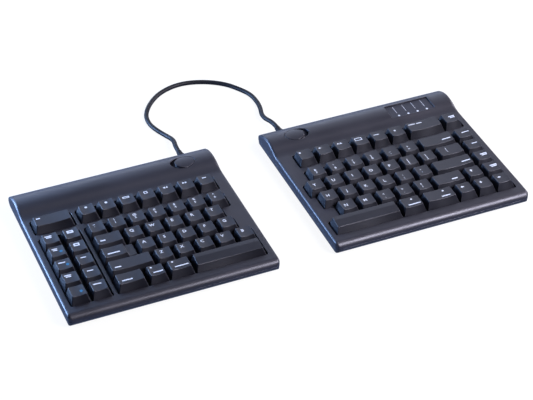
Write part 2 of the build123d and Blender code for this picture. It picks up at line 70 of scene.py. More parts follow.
# The cases, whose plan and parting line come from the frame. Lengths are in millimetres down to the finishes
DECK_Z = 13.8
HUMP_HEIGHT = 5.0
CROWN_RADIUS = 32.0
CROWN_FROM_REAR = 23.5
CREASE_RADIUS = 30.0
REAR_FOOT_RADIUS = 3.0
LOWER_SIDE_DRAW = 0.8
UPPER_SIDE_DRAW = 0.3
CORNER_RADIUS = 5.0
WALL = 2.2
FLOOR_Z = 3.1
CASE_EDGE_SHARE = 0.45
GROOVE_HALF = 0.3
GROOVE_DEPTH = 0.35
INNER_HALF_INSET = 3.2
LIP_ROUND = 0.5
HOLE_CORNER_RADIUS = 0.4
HOLE_CORNER_SHARE = 0.45
POCKET_RADIUS = 2.6
POCKET_LIP = 0.2
POCKET_FLOOR_Z = 2.9
REAR_GAP = 0.15
SWITCH_TRAVEL = 3.0

# How finely the cases are divided
NOSE_STEPS = 9
DECK_STEPS = 10
CREASE_STEPS = 6
CROWN_STEPS = 14
CORNER_STEPS = 7
INNER_DECK_STEPS = 4
INNER_HUMP_STEPS = 12
INNER_COLUMNS = (-60, -20, 20, 60)
SIDE_STEP = 6.0
FOOT_LEAD = 1.0
CREASE_LEAD = 1.0
HOLE_STEPS = 5
EDGE_STEPS = 3
EDGE_SHARES = (0, 0.25, 0.5, 0.75, 1)
OVAL_STEPS = 64
FACET_ANGLE = math.radians(35)
JOIN_DISTANCE = 1e-6
FLAT_TOLERANCE = 1e-6

# Openings round the keys
KEY_GAP = 1.0
OPENING_MARGIN = 0.5
OPENING_RADIUS = 1.6

# Keycaps
KEY_DRAW = 2.5
KEY_SET_BACK = 1.5
KEY_BASE_Z = 12.3
KEY_TOP_Z = 20.0
KEY_WALL = 1.2
KEY_ROOF = 1.4
STEM_WIDTH = 6.4
CHIMNEY_ROOM = 10.2
DISH_DEPTH = 0.5
STEP_DROP = 3.4
STEP_SHARE = 0.72
STEP_RUN = 1.6
BAR_FALL = 1.0
BAR_CREASE_SHARE = 0.12
BAR_CREASE_ROUND = 0.8
BAR_EDGE_SHARE = 0.8
BAR_BACK = 0.2
BAR_ROOF_SHARE = 1.2
CAP_FOOT_RADIUS = 0.8
CAP_TOP_RADIUS = 1.1
CAP_CORNER_STEPS = 4
CAP_EDGE_SHARES = (0, 1 / 3, 2 / 3, 1)
TOP_COLUMN_STEP = 2.2
LEAST_COLUMNS = 3
BAR_COLUMNS = 8
DISH_ROW_SHARES = (-0.5, 0, 0.5)
BAR_END_ROW_SHARES = (-0.55, 0.6)
STEP_CLEARANCE_SHARE = 0.08
SLOPE_STEP = 0.05
FIT_ROUNDS = 4

# Printed marks
LETTER_HEIGHT = 3.6
SIGN_HEIGHT = 2.7
WORD_HEIGHT = 1.3
SMALL_SIGN = 1.9
LETTER_X = -1.6
LEFT_LETTER_Y = 1.8
RIGHT_LETTER_Y = -0.8
UPPER_SIGN_RISE = 1.4
LOWER_SIGN_FALL = 2.6
LINE_RISE = 0.95
LINE_CUT = 1.4
LINE_X = (-0.3, -0.1)
LETTER_HEIGHT_SHARE = 0.73
LETTER_WEIGHT = 0.07
LETTER_RESOLUTION = 2
INK_THICKNESS = 0.02
PRINT_LIFT = 0.03
DOT_SIDES = 12
ARROW_SHAPE = ((0, 1), (-0.9, 0), (-0.35, 0), (-0.35, -0.9), (0.35, -0.9), (0.35, 0), (0.9, 0))
HEAD_SHAPE = ((0, 0.5), (-0.6, -0.5), (0.6, -0.5))
HEAD_APART_SHARE = 0.55

# Oval caps and indicator window
OVAL_LENGTH = 24.0
OVAL_WIDTH = 17.0
OVAL_GAP = 0.3
OVAL_ROUND = 0.4
OVAL_FROM_REAR = 23.5
OVAL_GRID = (3.0, 2.4)
OVAL_GRID_REACH = 3
OVAL_GRID_MARGIN = 0.8
CRESCENT = 4.4
WINDOW_GAP = 0.15
WINDOW_CORNER_RADIUS = 0.8
PLATE_ROUND = 0.2
PLATE_STEPS = 2
LAMP_COUNT = 4
LAMP_PITCH = 10.0
LAMP_LINE = (0.32, 10.5)
LAMP_LINE_FROM_REAR = 7.0
LAMP_LINE_X = 0.2
LAMP_DOT = 2.2
LAMP_DOT_FROM_FRONT = 1.7
LAMP_DOT_X = 0.4

# Cable, its sleeves and the feet
CABLE_EXIT_Z = 6.5
CABLE_SIDES = 20
CABLE_RESOLUTION = 24
CABLE_ORDER = 3
SLEEVE_SIDES = 40
SLEEVE_RADIUS = 3.06
SLEEVE_TAPER = 0.42
SLEEVE_LENGTH = 8.0
SLEEVE_GROOVES = 4
SLEEVE_GROOVE_START = 1.9
SLEEVE_GROOVE_PITCH = 1.3
PAD_CORNER_RADIUS = 2.0
PAD_ROUND = 0.6

# Radius and depth behind the wall of each ring of a sleeve's lip and end, and depth and run of a groove
SLEEVE_LIP = ((2.9, -4.0), (3.0, -0.6), (3.5, -0.3), (3.7, 0.1), (3.7, 0.7), (3.5, 1.0), (3.05, 1.15))
SLEEVE_END = ((2.62, 7.5), (2.52, 7.85), (2.3, SLEEVE_LENGTH))
SLEEVE_GROOVE = ((0, 0), (0.28, 0.15), (0.3, 0.45), (0.08, 0.6))

# Size in metres of the grain and of its relief, specular level and drift of colour of each finish
CASE_FINISH = (0.00045, 0.00003, 0.6, 0.12)
PLUG_FINISH = (0.0004, 0.00002, 0.6, 0.12)
CAP_FINISH = (0.0003, 0.00002, 0.62, 0.12)
INK_FINISH = (0.0002, 0.000005, 0.3, 0.06)
WINDOW_FINISH = (0.0008, 0.000005, 0.4, 0.12)
SLEEVE_FINISH = (0.0003, 0.00002, 0.25, 0.12)
JACKET_FINISH = (0.0005, 0.00002, 0.25, 0.12)
PAD_FINISH = (0.0006, 0.00005, 0.5, 0.12)
WINDOW_COLOUR = (0.008, 0.0085, 0.016)
PAD_COLOUR = (0.02, 0.02, 0.022)
INK_ROUGHNESS = 0.5
WINDOW_ROUGHNESS = 0.36
SLEEVE_ROUGHNESS = 0.55
JACKET_ROUGHNESS = 0.5
PAD_ROUGHNESS = 0.75

# What the finishes share: the slow pattern, the grain and the tint of the sheen
BROAD_PATTERN = 0.03
BROAD_DETAIL = 3.0
GRAIN_DETAIL = 2.0
PATTERN_ENDS = (0.3, 0.7)
GLOSS_DRIFT = 0.04
GRAIN_STRENGTH = 0.35
SHEEN_TINT = (0.86, 0.86, 1.0)

# Painted shade and sheen of the caps: specular level of their flanks and of their tops, and how far up a
# face looks where each begins
CAP_SHEEN_AND_SHADE_LEVELS = (0.3, 0.62)
CAP_SHADE_FACING = (0.45, 0.95)

# Colour, roughness, metallic share and grain size of the inner pieces, by the ending of their names
HARDWARE = {
    "key_frame": ((0.03, 0.03, 0.034), 0.5, 0.0, 0.0005),
    "dome_sheet": ((0.5, 0.5, 0.48), 0.6, 0.0, 0.0008),
    "membrane": ((0.42, 0.44, 0.4), 0.35, 0.0, 0.0008),
    "back_plate": ((0.5, 0.5, 0.5), 0.35, 1.0, 0.0003),
    "circuit_board": ((0.02, 0.12, 0.05), 0.4, 0.0, 0.0006),
    "case_screws": ((0.35, 0.35, 0.36), 0.35, 1.0, 0.0002),
    "battery_pack": ((0.12, 0.12, 0.16), 0.4, 0.0, 0.0006),
    "charge_socket": ((0.6, 0.6, 0.6), 0.3, 1.0, 0.0002),
    "power_switch": ((0.02, 0.02, 0.022), 0.5, 0.0, 0.0003),
    "switch_body": ((0.03, 0.03, 0.03), 0.5, 0.0, 0.0003),
    "indicator_lamps": ((0.6, 0.62, 0.55), 0.3, 0.0, 0.0003),
    "light_pipes": ((0.7, 0.72, 0.74), 0.15, 0.0, 0.0006),
}
HARDWARE_RELIEF = 0.00002
HARDWARE_SPECULAR = 0.5
HARDWARE_DRIFT = 0.15

# The room, in metres; in glossy reflections the floor glows with a painted shade, darker and bluer, beside
# the object, changing to a painted bright reflection far in front of it
FLOOR_COLOUR = (0.9, 0.9, 0.9)
FLOOR_GLOW_SHARE = 0.9
CAMERA_WHITE = (1.0, 1.0, 1.0)
FLOOR_NEAR_PAINTED_SHADE = (0.28, 0.4, 0.72)
FLOOR_FAR_PAINTED_REFLECTION = (1.1, 1.1, 1.25)
FLOOR_NEAR_Y = -0.12
FLOOR_FAR_Y = -0.5
FLOOR_HALF = 4.0
ROOM_COLOUR = (0.88, 0.91, 1.0)
VIEW_MIDDLE = Vector((0.00112, 0.00745, 0.0))
SENSOR_WIDTH = 36.0
CLIP_END = 20.0

# Name, place, aim, size, power in watts and colour of each soft lamp
LAMPS = (
    ("front_softbox", (0.6, -0.8, 0.83), (0.1, -0.05, 0.0), (0.5, 0.5), 30.0, (0.96, 0.94, 1.0)),
    ("right_softbox", (1.2, 0.2, 0.6), (0.0, 0.0, 0.0), (0.6, 0.6), 15.0, (0.96, 0.91, 1.0)),
    ("rear_low_panel", (0.45, 1.5, 0.3), (0.0, 0.0, 0.0), (1.4, 0.4), 6.0, (0.72, 0.8, 1.0)),
    ("rear_left_softbox", (-0.4, 1.4, 0.9), (0.0, 0.0, 0.0), (0.9, 0.7), 10.0, (0.45, 0.65, 1.0)),
    ("left_low_panel", (-0.62, 0.46, 0.19), (-0.2, 0.0, 0.0), (0.42, 0.3), 17.0, (0.38, 0.6, 1.0)),
    ("high_softbox", (0.3, 0.15, 1.5), (0.0, 0.0, 0.0), (0.8, 0.8), 2.6, (0.8, 0.85, 1.0)),
    ("rear_right_softbox", (0.75, 1.3, 1.1), (0.05, 0.0, 0.0), (1.0, 0.8), 3.4, (0.84, 0.88, 1.0)),
)

CAP_FORMS = {"caps_lock_key": "stepped", "left_space_bar": "bar", "right_space_bar": "bar"}
KEY_ENDINGS = ("_key", "_keys", "_space_bar")

# Points that guide the link cable from the left module to the right one, in millimetres
CABLE_ROUTE = (
    (-50.45, 100.7, 6.5), (-50.45, 109.7, 6.5), (-47.25, 123.0, 4.3), (-51.25, 136.0, 2.25),
    (-56.75, 148.8, 2.25), (-59.55, 161.6, 2.25), (-57.05, 176.7, 2.25), (-45.95, 193.5, 2.25),
    (-29.95, 207.0, 2.25), (-8.25, 213.3, 2.25), (14.05, 208.5, 2.25), (34.25, 195.9, 2.25),
    (46.25, 178.4, 2.25), (51.95, 166.1, 2.25), (52.35, 146.0, 2.25), (45.75, 125.5, 4.3),
    (51.15, 109.7, 6.5), (51.15, 100.7, 6.5),
)

# The modules, with the side of each that faces the other
MODULES = {"left": 1, "right": -1}

# The nodes whose keys share an opening; the rearmost navigation key stands with the function keys
OPENINGS = {
    "left": [
        ["escape_key", "left_function_keys"],
        ["left_number_keys", "tab_key", "left_top_letter_keys", "caps_lock_key", "left_home_letter_keys",
         "left_shift_key", "left_bottom_letter_keys", "left_modifier_keys", "left_space_bar"],
        ["side_outer_keys", "side_inner_keys"],
        ["wide_corner_key"],
    ],
    "right": [
        ["right_function_keys", "right_wide_function_key", "navigation_keys:rearmost"],
        ["right_number_keys", "backspace_key", "right_top_letter_keys", "backslash_key",
         "right_home_letter_keys", "return_key", "right_bottom_letter_keys", "right_shift_key",
         "right_space_bar", "right_modifier_keys", "arrow_keys", "navigation_keys:others"],
    ],
}


# A hole through a case, or down to its own floor, and a row of touching keys
Hole = namedtuple("Hole", "rim lip floor", defaults=(None,))
Row = namedtuple("Row", "ends front rear")


class Shell:
    """A mesh in the making: points and faces in millimetres, with the normals that its smooth parts keep."""

    def __init__(self):
        self.points, self.normals, self.faces = [], [], []

    def ring(self, points, normals=None):
        """Adds points and returns their numbers. Without normals, shading there follows the faces."""
        first = len(self.points)
        self.points += [Vector(point) for point in points]
        self.normals += [Vector(normal) for normal in normals or [(0, 0, 0)] * len(points)]
        return list(range(first, len(self.points)))

    def band(self, low, high, closed=True):
        """Joins two rings with four-sided faces."""
        for i in range(len(low) - (0 if closed else 1)):
            j = (i + 1) % len(low)
            self.faces.append((low[i], low[j], high[j], high[i]))

    def bands(self, rings):
        for low, high in zip(rings, rings[1:]):
            self.band(low, high)

    def fill(self, loops, inside=(), lines=(), across=(0, 1)):
        """Covers the space between closed loops with triangles, through the points and lines inside it."""
        numbers = [i for loop in loops for i in loop] + list(inside)
        place = {number: k for k, number in enumerate(numbers)}
        flat = [Vector((self.points[i][across[0]], self.points[i][across[1]])) for i in numbers]
        rims = [(place[a], place[b]) for loop in loops for a, b in zip(loop, loop[1:] + loop[:1])]
        chains = [(place[a], place[b]) for line in lines for a, b in zip(line, line[1:])]
        spots, _, triangles, origin, _, _ = delaunay_2d_cdt(flat, rims + chains, [], 0, FLAT_TOLERANCE)
        middles = [sum((spots[i] for i in face), Vector((0, 0))) / len(face) for face in triangles]
        edges = [(flat[i], flat[j]) for i, j in rims]
        for face, keep in zip(triangles, between_loops(middles, edges)):
            if keep and all(origin[i] for i in face):
                self.faces.append(tuple(numbers[origin[i][0]] for i in face))

    def mesh(self, name):
        """The finished mesh in metres: joined, facing outwards and smooth wherever its normals say so."""
        form = bmesh.new()
        kept = form.verts.layers.float_vector.new("kept_normal")
        verts = []
        for point, normal in zip(self.points, self.normals):
            vert = form.verts.new(point * MM)
            vert[kept] = normal
            verts.append(vert)
        made = set()
        for face in self.faces:
            corners = frozenset(face)
            if len(corners) > 2 and corners not in made:
                made.add(corners)
                form.faces.new([verts[i] for i in dict.fromkeys(face)])
        bmesh.ops.remove_doubles(form, verts=form.verts, dist=JOIN_DISTANCE)
        bmesh.ops.delete(form, geom=[v for v in form.verts if not v.link_faces], context="VERTS")
        bmesh.ops.recalc_face_normals(form, faces=form.faces)
        for face in form.faces:
            face.smooth = True
        mesh = bpy.data.meshes.new(name)
        form.to_mesh(mesh)
        form.free()
        mesh.set_sharp_from_angle(angle=FACET_ANGLE)
        layer = mesh.attributes["kept_normal"]
        normals = [Vector(item.vector).normalized() for item in layer.data]
        mesh.attributes.remove(layer)
        mesh.normals_split_custom_set_from_vertices(normals)
        return mesh


def between_loops(places, edges):
    """Which flat places lie between closed loops, given as the edges of all the loops."""
    places, ends = numpy.array(places), numpy.array(edges)
    (ax, ay), (bx, by) = ends[:, 0].T, ends[:, 1].T
    x, y = places[:, :1], places[:, 1:]
    rise = numpy.where(by == ay, 1.0, by - ay)
    crossed = ((ay > y) != (by > y)) & (x < ax + (y - ay) * (bx - ax) / rise)
    return crossed.sum(axis=1) % 2 == 1


def slerp(a, b, share):
    """A direction part of the way from one normal to another."""
    return a.lerp(b, share).normalized()


def bend(start, control, end, share):
    """A point on a rounded edge between two surfaces."""
    return start.lerp(control, share).lerp(control.lerp(end, share), share)


def quarter(steps):
    """Evenly spaced turns from none to a right angle."""
    return [RIGHT_ANGLE * i / steps for i in range(steps + 1)]


def circle(steps):
    """Evenly spaced directions round a circle, as cosines and sines."""
    turns = [math.tau * i / steps for i in range(steps)]
    return [(math.cos(turn), math.sin(turn)) for turn in turns]


def spread(start, end, count):
    """Evenly spaced values after start, up to end."""
    return [start + (end - start) * (i + 1) / count for i in range(count)]


def edge_turns(radius, steps):
    """Rings of a rounded edge: distance from the face it leaves and the one it meets, share of the turn."""
    rings = []
    for turn in quarter(steps):
        rings.append((radius * (1 - math.cos(turn)), radius * (1 - math.sin(turn)), turn / RIGHT_ANGLE))
    return rings


def box_corners(x0, x1, y0, y1):
    """The corners of a rectangle, anticlockwise."""
    return [(x0, y0), (x1, y0), (x1, y1), (x0, y1)]


def add_object(name, data):
    """Puts a new object into the scene."""
    item = bpy.data.objects.new(name, data)
    bpy.context.scene.collection.objects.link(item)
    return item


def add_piece(name, mesh, material, body, replaced=()):
    """Puts a mesh into the scene as a piece that rides on a body of the frame."""
    piece = add_object(name, mesh)
    mesh.materials.append(material)
    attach(piece, body)
    if replaced:
        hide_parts(*replaced)
    return piece


def box_of(node):
    """Lowest and highest corner of a node of the frame, in millimetres."""
    return tuple(Vector(corner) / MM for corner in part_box(node))


def key_boxes(node):
    """The box of each separate key in a node of the frame, from the front row to the rear, left to right."""
    form = bmesh.new()
    form.from_mesh(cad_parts[node].data)
    bmesh.ops.remove_doubles(form, verts=form.verts, dist=JOIN_DISTANCE)
    left, boxes = set(form.verts), []
    while left:
        group, edge = set(), [left.pop()]
        while edge:
            vert = edge.pop()
            group.add(vert)
            for link in vert.link_edges:
                other = link.other_vert(vert)
                if other in left:
                    left.discard(other)
                    edge.append(other)
        corners = [[v.co[axis] / MM for v in group] for axis in range(3)]
        boxes.append((Vector([min(c) for c in corners]), Vector([max(c) for c in corners])))
    form.free()
    return sorted(boxes, key=lambda box: (round(box[0].y), box[0].x))


# The modules' outer form


class Module:
    """One module's place and outline, read from the frame, with the heights of its top surface."""

    def __init__(self, side):
        low, high = box_of(side + "_top_case")
        self.side, self.inner = side, MODULES[side]
        self.x, self.half = (low.x + high.x) / 2, (high.x - low.x) / 2
        self.front, self.rear = low.y, high.y
        self.parting = low.z
        self.low = box_of(side + "_bottom_case")[0].z
        self.nose = DECK_Z - self.parting
        self.crown_y = self.rear - CROWN_FROM_REAR
        self.crown_z = DECK_Z + HUMP_HEIGHT - CROWN_RADIUS
        both = CROWN_RADIUS + CREASE_RADIUS
        rise = DECK_Z + CREASE_RADIUS - self.crown_z
        self.crease_y = self.crown_y - math.sqrt(both ** 2 - rise ** 2)
        self.meet_y = self.crease_y + (self.crown_y - self.crease_y) * CREASE_RADIUS / both

    def top(self, y):
        """Height and slope of the top surface."""
        if y <= self.crease_y:
            return DECK_Z, 0.0
        if y <= self.meet_y:
            run = y - self.crease_y
            drop = math.sqrt(CREASE_RADIUS ** 2 - run ** 2)
            return DECK_Z + CREASE_RADIUS - drop, run / drop
        run = y - self.crown_y
        drop = math.sqrt(CROWN_RADIUS ** 2 - run ** 2)
        return self.crown_z + drop, -run / drop

    def top_normal(self, y):
        return Vector((0, -self.top(y)[1], 1)).normalized()

    def corner_turn(self, y):
        """How far the side has turned towards an end, at the rounded upright corners."""
        depth = min(y - self.front, self.rear - y)
        return math.asin(min(1, max(0, CORNER_RADIUS - depth) / CORNER_RADIUS))

    def edge_x(self, y, z):
        """Half the width at a place: widest at the parting line, almost upright above it, drawn in below."""
        draw = UPPER_SIDE_DRAW if z > self.parting else LOWER_SIDE_DRAW
        lean = draw * abs(z - self.parting) / self.nose
        return self.half - lean - CORNER_RADIUS * (1 - math.cos(self.corner_turn(y)))

    def side_normal(self, y, rise, sign):
        turn = self.corner_turn(y)
        toward = -1 if y < (self.front + self.rear) / 2 else 1
        lean = (UPPER_SIDE_DRAW if rise > 0 else rise * LOWER_SIDE_DRAW) / self.nose
        return Vector((sign * math.cos(turn), toward * math.sin(turn), lean * math.cos(turn))).normalized()


def nose_stations(module, rise):
    """Stations round the bullnose front, from the parting groove to the deck or the floor."""
    first = math.asin(GROOVE_HALF / module.nose)
    stations = []
    for i in range(NOSE_STEPS + 1):
        turn = first + (RIGHT_ANGLE - first) * i / NOSE_STEPS
        y = module.front + module.nose * (1 - math.cos(turn))
        facing = Vector((0, -math.cos(turn), rise * math.sin(turn)))
        stations.append((y, module.parting + rise * module.nose * math.sin(turn), facing))
    return stations


def corner_spread(module):
    """Depths along a rounded rear corner, closer together towards the end."""
    return [module.rear - CORNER_RADIUS * (1 - math.sin(turn)) for turn in quarter(CORNER_STEPS)[1:]]


def top_stations(module):
    """Stations along the top half: nose, deck, crease, crown and rear wall. Also where the top ends."""
    stations = nose_stations(module, 1)
    last = len(stations) - 1
    depths = spread(stations[-1][0], module.crease_y, DECK_STEPS)
    depths += spread(module.crease_y, module.meet_y, CREASE_STEPS)
    depths += spread(module.meet_y, module.rear - CORNER_RADIUS, CROWN_STEPS) + corner_spread(module)
    stations += [(y, module.top(y)[0], module.top_normal(y)) for y in depths]
    facing = slerp(module.top_normal(module.rear), Y_UP, 0.5)
    stations[-1] = (module.rear, module.top(module.rear)[0], facing)
    covered = (last, len(stations) - 1)
    stations.append((module.rear, module.parting + GROOVE_HALF, Y_UP))
    return stations, covered


def bottom_stations(module):
    """Stations along the bottom half: nose, floor, rear foot and up the rear wall."""
    stations = nose_stations(module, -1)
    last = len(stations) - 1
    foot = REAR_FOOT_RADIUS
    depths = spread(stations[-1][0], module.rear - CORNER_RADIUS, DECK_STEPS)
    for y in depths + [module.rear - foot - FOOT_LEAD, module.rear - foot]:
        stations.append((y, module.low, -Z_UP))
    covered = (last, len(stations) - 1)
    for turn in quarter(CORNER_STEPS)[1:]:
        y, z = module.rear - foot * (1 - math.sin(turn)), module.low + foot * (1 - math.cos(turn))
        stations.append((y, z, Vector((0, math.sin(turn), -math.cos(turn)))))
    stations.append((module.rear, module.parting - GROOVE_HALF, Y_UP))
    return stations, covered


def side_section(shell, module, station, rise, sign, edge_round):
    """One upright line of a side: from the parting groove over the rounded edge to the top or the floor."""
    y, z, facing = station
    base = module.parting + rise * GROOVE_HALF
    edge = min(edge_round, CASE_EDGE_SHARE * abs(z - base))
    wall = module.side_normal(y, rise, sign)
    start_z = z - rise * edge
    start = Vector((sign * module.edge_x(y, start_z), y, start_z))
    control = Vector((sign * module.edge_x(y, z), y, z))
    end = control - Vector((sign * edge, 0, 0))
    points = [Vector((sign * module.edge_x(y, base), y, base))]
    points += [bend(start, control, end, share) for share in EDGE_SHARES]
    normals = [wall] + [slerp(wall, facing, share) for share in EDGE_SHARES]
    middle = Vector((module.x, 0, 0))
    return shell.ring([point + middle for point in points], normals)


def inner_depths(module):
    """Depths at which the inside follows the outside."""
    start = module.front + module.nose
    depths = [start] + spread(start, module.crease_y, INNER_DECK_STEPS)
    return depths + spread(module.crease_y, module.rear - WALL, INNER_HUMP_STEPS)


def case_half(module, rise, edge_round, holes, inside_z, rear_holes=()):
    """A closed half of a case: outer skin, parting groove, rim and inside, with its holes cut through."""
    shell = Shell()
    stations, (first, last) = top_stations(module) if rise > 0 else bottom_stations(module)
    right = [side_section(shell, module, station, rise, 1, edge_round) for station in stations]
    left = [side_section(shell, module, station, rise, -1, edge_round) for station in stations]
    for side in (right, left):
        for near, far in zip(side, side[1:]):
            shell.band(near, far, closed=False)
    rear_wall = len(stations) - 2
    for k in range(len(stations) - 1):
        if not first <= k < last and not (rear_holes and k == rear_wall):
            shell.faces.append((left[k][-1], right[k][-1], right[k + 1][-1], left[k + 1][-1]))
    surface = (lambda y: module.top(y)[0]) if rise > 0 else (lambda y: module.low)
    facing = module.top_normal if rise > 0 else (lambda y: -Z_UP)
    outer_rims, inner_rims = cut_holes(shell, holes, surface, facing, rise, inside_z)
    columns = spread(-module.half, module.half, int(2 * module.half / SIDE_STEP))[:-1]
    depths = [y for y, _, _ in stations[first + 1:last]] if rise > 0 else []
    grid = hump_grid(module, columns, depths, holes)
    inside = shell.ring([(x, y, surface(y)) for x, y in grid], [facing(y) for _, y in grid])
    border = [section[-1] for section in right[first:last + 1]]
    border += [section[-1] for section in left[first:last + 1]][::-1]
    shell.fill([border] + outer_rims, inside)
    rim = [section[0] for section in right] + [section[0] for section in left][::-1]
    groove = parting_groove(shell, module, rim)
    ends = [left[rear_wall][-1], right[rear_wall][-1], right[-1][-1], left[-1][-1]]
    add_inside(shell, module, groove, holes, inner_rims, inside_z, rear_holes, ends)
    return shell


def add_inside(shell, module, groove, holes, inner_rims, inside_z, rear_holes, ends):
    """The inside of a half of a case: rim, inner walls and its roof or floor."""
    depths = inner_depths(module)
    reach = module.half - INNER_HALF_INSET
    plan = [(module.x + reach, y) for y in depths] + [(module.x - reach, y) for y in depths[::-1]]
    inner_low = shell.ring([(x, y, module.parting) for x, y in plan])
    inner_high = shell.ring([(x, y, inside_z(y)) for x, y in plan])
    shell.fill([groove, inner_low])
    if rear_holes:
        join_rear_wall(shell, module, rear_holes, ends, inner_low, inner_high, len(depths))
    else:
        shell.band(inner_low, inner_high)
    grid = hump_grid(module, INNER_COLUMNS, depths[1:-1], holes)
    under = shell.ring([(x, y, inside_z(y)) for x, y in grid])
    shell.fill([inner_high] + inner_rims, under)


def hump_grid(module, columns, depths, holes):
    """Places on the curved rear part that keep clear of every hole's rim."""
    rims = [place for hole in holes for place, _ in hole.rim]
    spots = [(module.x + x, y) for y in depths if y > module.crease_y - CREASE_LEAD for x in columns]
    return [spot for spot in spots if all(math.dist(spot, place) > 2 * LIP_ROUND for place in rims)]


def parting_groove(shell, module, rim):
    """The floor of the groove round the parting line, next to a rim of the outer skin."""
    floor = []
    for i in rim:
        point = shell.points[i]
        wall = module.side_normal(point.y, 0, 1 if point.x > module.x else -1)
        inward = point - wall * GROOVE_DEPTH
        floor.append((inward.x, inward.y, module.parting))
    groove = shell.ring(floor)
    shell.band(rim, groove)
    return groove


def cut_holes(shell, holes, surface, facing, rise, inside_z):
    """Rounds each hole's lip and takes its wall through, or down to its own floor. Gives the open rims."""
    outer_rims, inner_rims = [], []
    for hole in holes:
        rings = []
        for down, out, share in edge_turns(hole.lip, EDGE_STEPS):
            points, normals = [], []
            for (x, y), (nx, ny) in hole.rim:
                px, py = x + nx * out, y + ny * out
                points.append((px, py, surface(py) - rise * down))
                normals.append(slerp(facing(py), Vector((-nx, -ny, 0)), share))
            rings.append(shell.ring(points, normals))
        walls = [Vector((-nx, -ny, 0)) for _, (nx, ny) in hole.rim]
        ends = [(x, y, inside_z(y) if hole.floor is None else hole.floor) for (x, y), _ in hole.rim]
        rings.append(shell.ring(ends, walls))
        shell.bands(rings)
        outer_rims.append(rings[0])
        if hole.floor is None:
            inner_rims.append(rings[-1])
        else:
            shell.fill([rings[-1]])
    return outer_rims, inner_rims


def join_rear_wall(shell, module, rear_holes, ends, inner_low, inner_high, count):
    """The rear wall of a bottom case, with holes from its outside through to its inside."""
    outer, inner = [], []
    for x0, x1, z0, z1 in rear_holes:
        rim = rounded(box_corners(x0, x1, z0, z1), HOLE_CORNER_RADIUS)
        outer.append(shell.ring([(x, module.rear, z) for (x, z), _ in rim], [Y_UP] * len(rim)))
        inner.append(shell.ring([(x, module.rear - WALL, z) for (x, z), _ in rim]))
        shell.band(outer[-1], inner[-1])
    shell.fill([ends] + outer, across=(0, 2))
    total = len(inner_low)
    for i in range(total):
        j = (i + 1) % total
        face = (inner_low[i], inner_low[j], inner_high[j], inner_high[i])
        if i == count - 1:
            shell.fill([list(face)] + inner, across=(0, 2))
        else:
            shell.faces.append(face)


def rounded(corners, radius):
    """An anticlockwise outline with rounded corners: each point with the direction out of the outline."""
    rim = []
    count = len(corners)
    for i, corner in enumerate(corners):
        here = Vector(corner)
        back, ahead = Vector(corners[i - 1]) - here, Vector(corners[(i + 1) % count]) - here
        size = min(radius, HOLE_CORNER_SHARE * back.length, HOLE_CORNER_SHARE * ahead.length)
        back, ahead = back.normalized(), ahead.normalized()
        centre = here + (back + ahead) * size
        bulge = 1 if back.x * ahead.y - back.y * ahead.x < 0 else -1
        for turn in quarter(HOLE_STEPS):
            out = -(ahead * math.cos(turn) + back * math.sin(turn))
            rim.append((tuple(centre + out * size), tuple(out * bulge)))
    return rim


def oval_rim(x, y, half_length, half_width):
    """Points round an oval hole with their outward directions."""
    rim = []
    for cos, sin in circle(OVAL_STEPS):
        out = Vector((cos / half_length, sin / half_width)).normalized()
        rim.append(((x + half_length * cos, y + half_width * sin), tuple(out)))
    return rim


def opening_rows(names):
    """Rows of touching keys from the front, with the room that the opening leaves round them."""
    rows = {}
    for name in names:
        node, _, part = name.partition(":")
        boxes = key_boxes(node)
        if part:
            boxes = boxes[-1:] if part == "rearmost" else boxes[:-1]
        for low, high in boxes:
            rows.setdefault(round((low.y + high.y) / 2, 1), []).append((low, high))
    room = Vector((1, 1, 0)) * (KEY_GAP / 2 + OPENING_MARGIN)
    found = []
    for y in sorted(rows):
        lows, highs = zip(*[(low - room, high + room) for low, high in rows[y]])
        ends = (min(low.x for low in lows), max(high.x for high in highs))
        found.append(Row(ends, min(low.y for low in lows), max(high.y for high in highs)))
    return found


def side_corners(rows, end, outward):
    """Corners up one side of an opening: end 0 is its left side and end 1 its right side."""
    corners = [(rows[0].ends[end], rows[0].front)]
    for near, far in zip(rows, rows[1:]):
        near_x, far_x = near.ends[end], far.ends[end]
        longer = (near_x - far_x) * outward
        if abs(longer) > OPENING_MARGIN:
            step_y = near.rear if longer > 0 else far.front
            corners += [(near_x, step_y), (far_x, step_y)]
    return corners + [(rows[-1].ends[end], rows[-1].rear)]


def opening_rim(names):
    """The rounded outline of one opening in the deck, stepped where its rows differ in length."""
    rows = opening_rows(names)
    right, left = side_corners(rows, 1, 1), side_corners(rows, 0, -1)
    return rounded([left[0], *right, *left[:0:-1]], OPENING_RADIUS)


# Keycaps


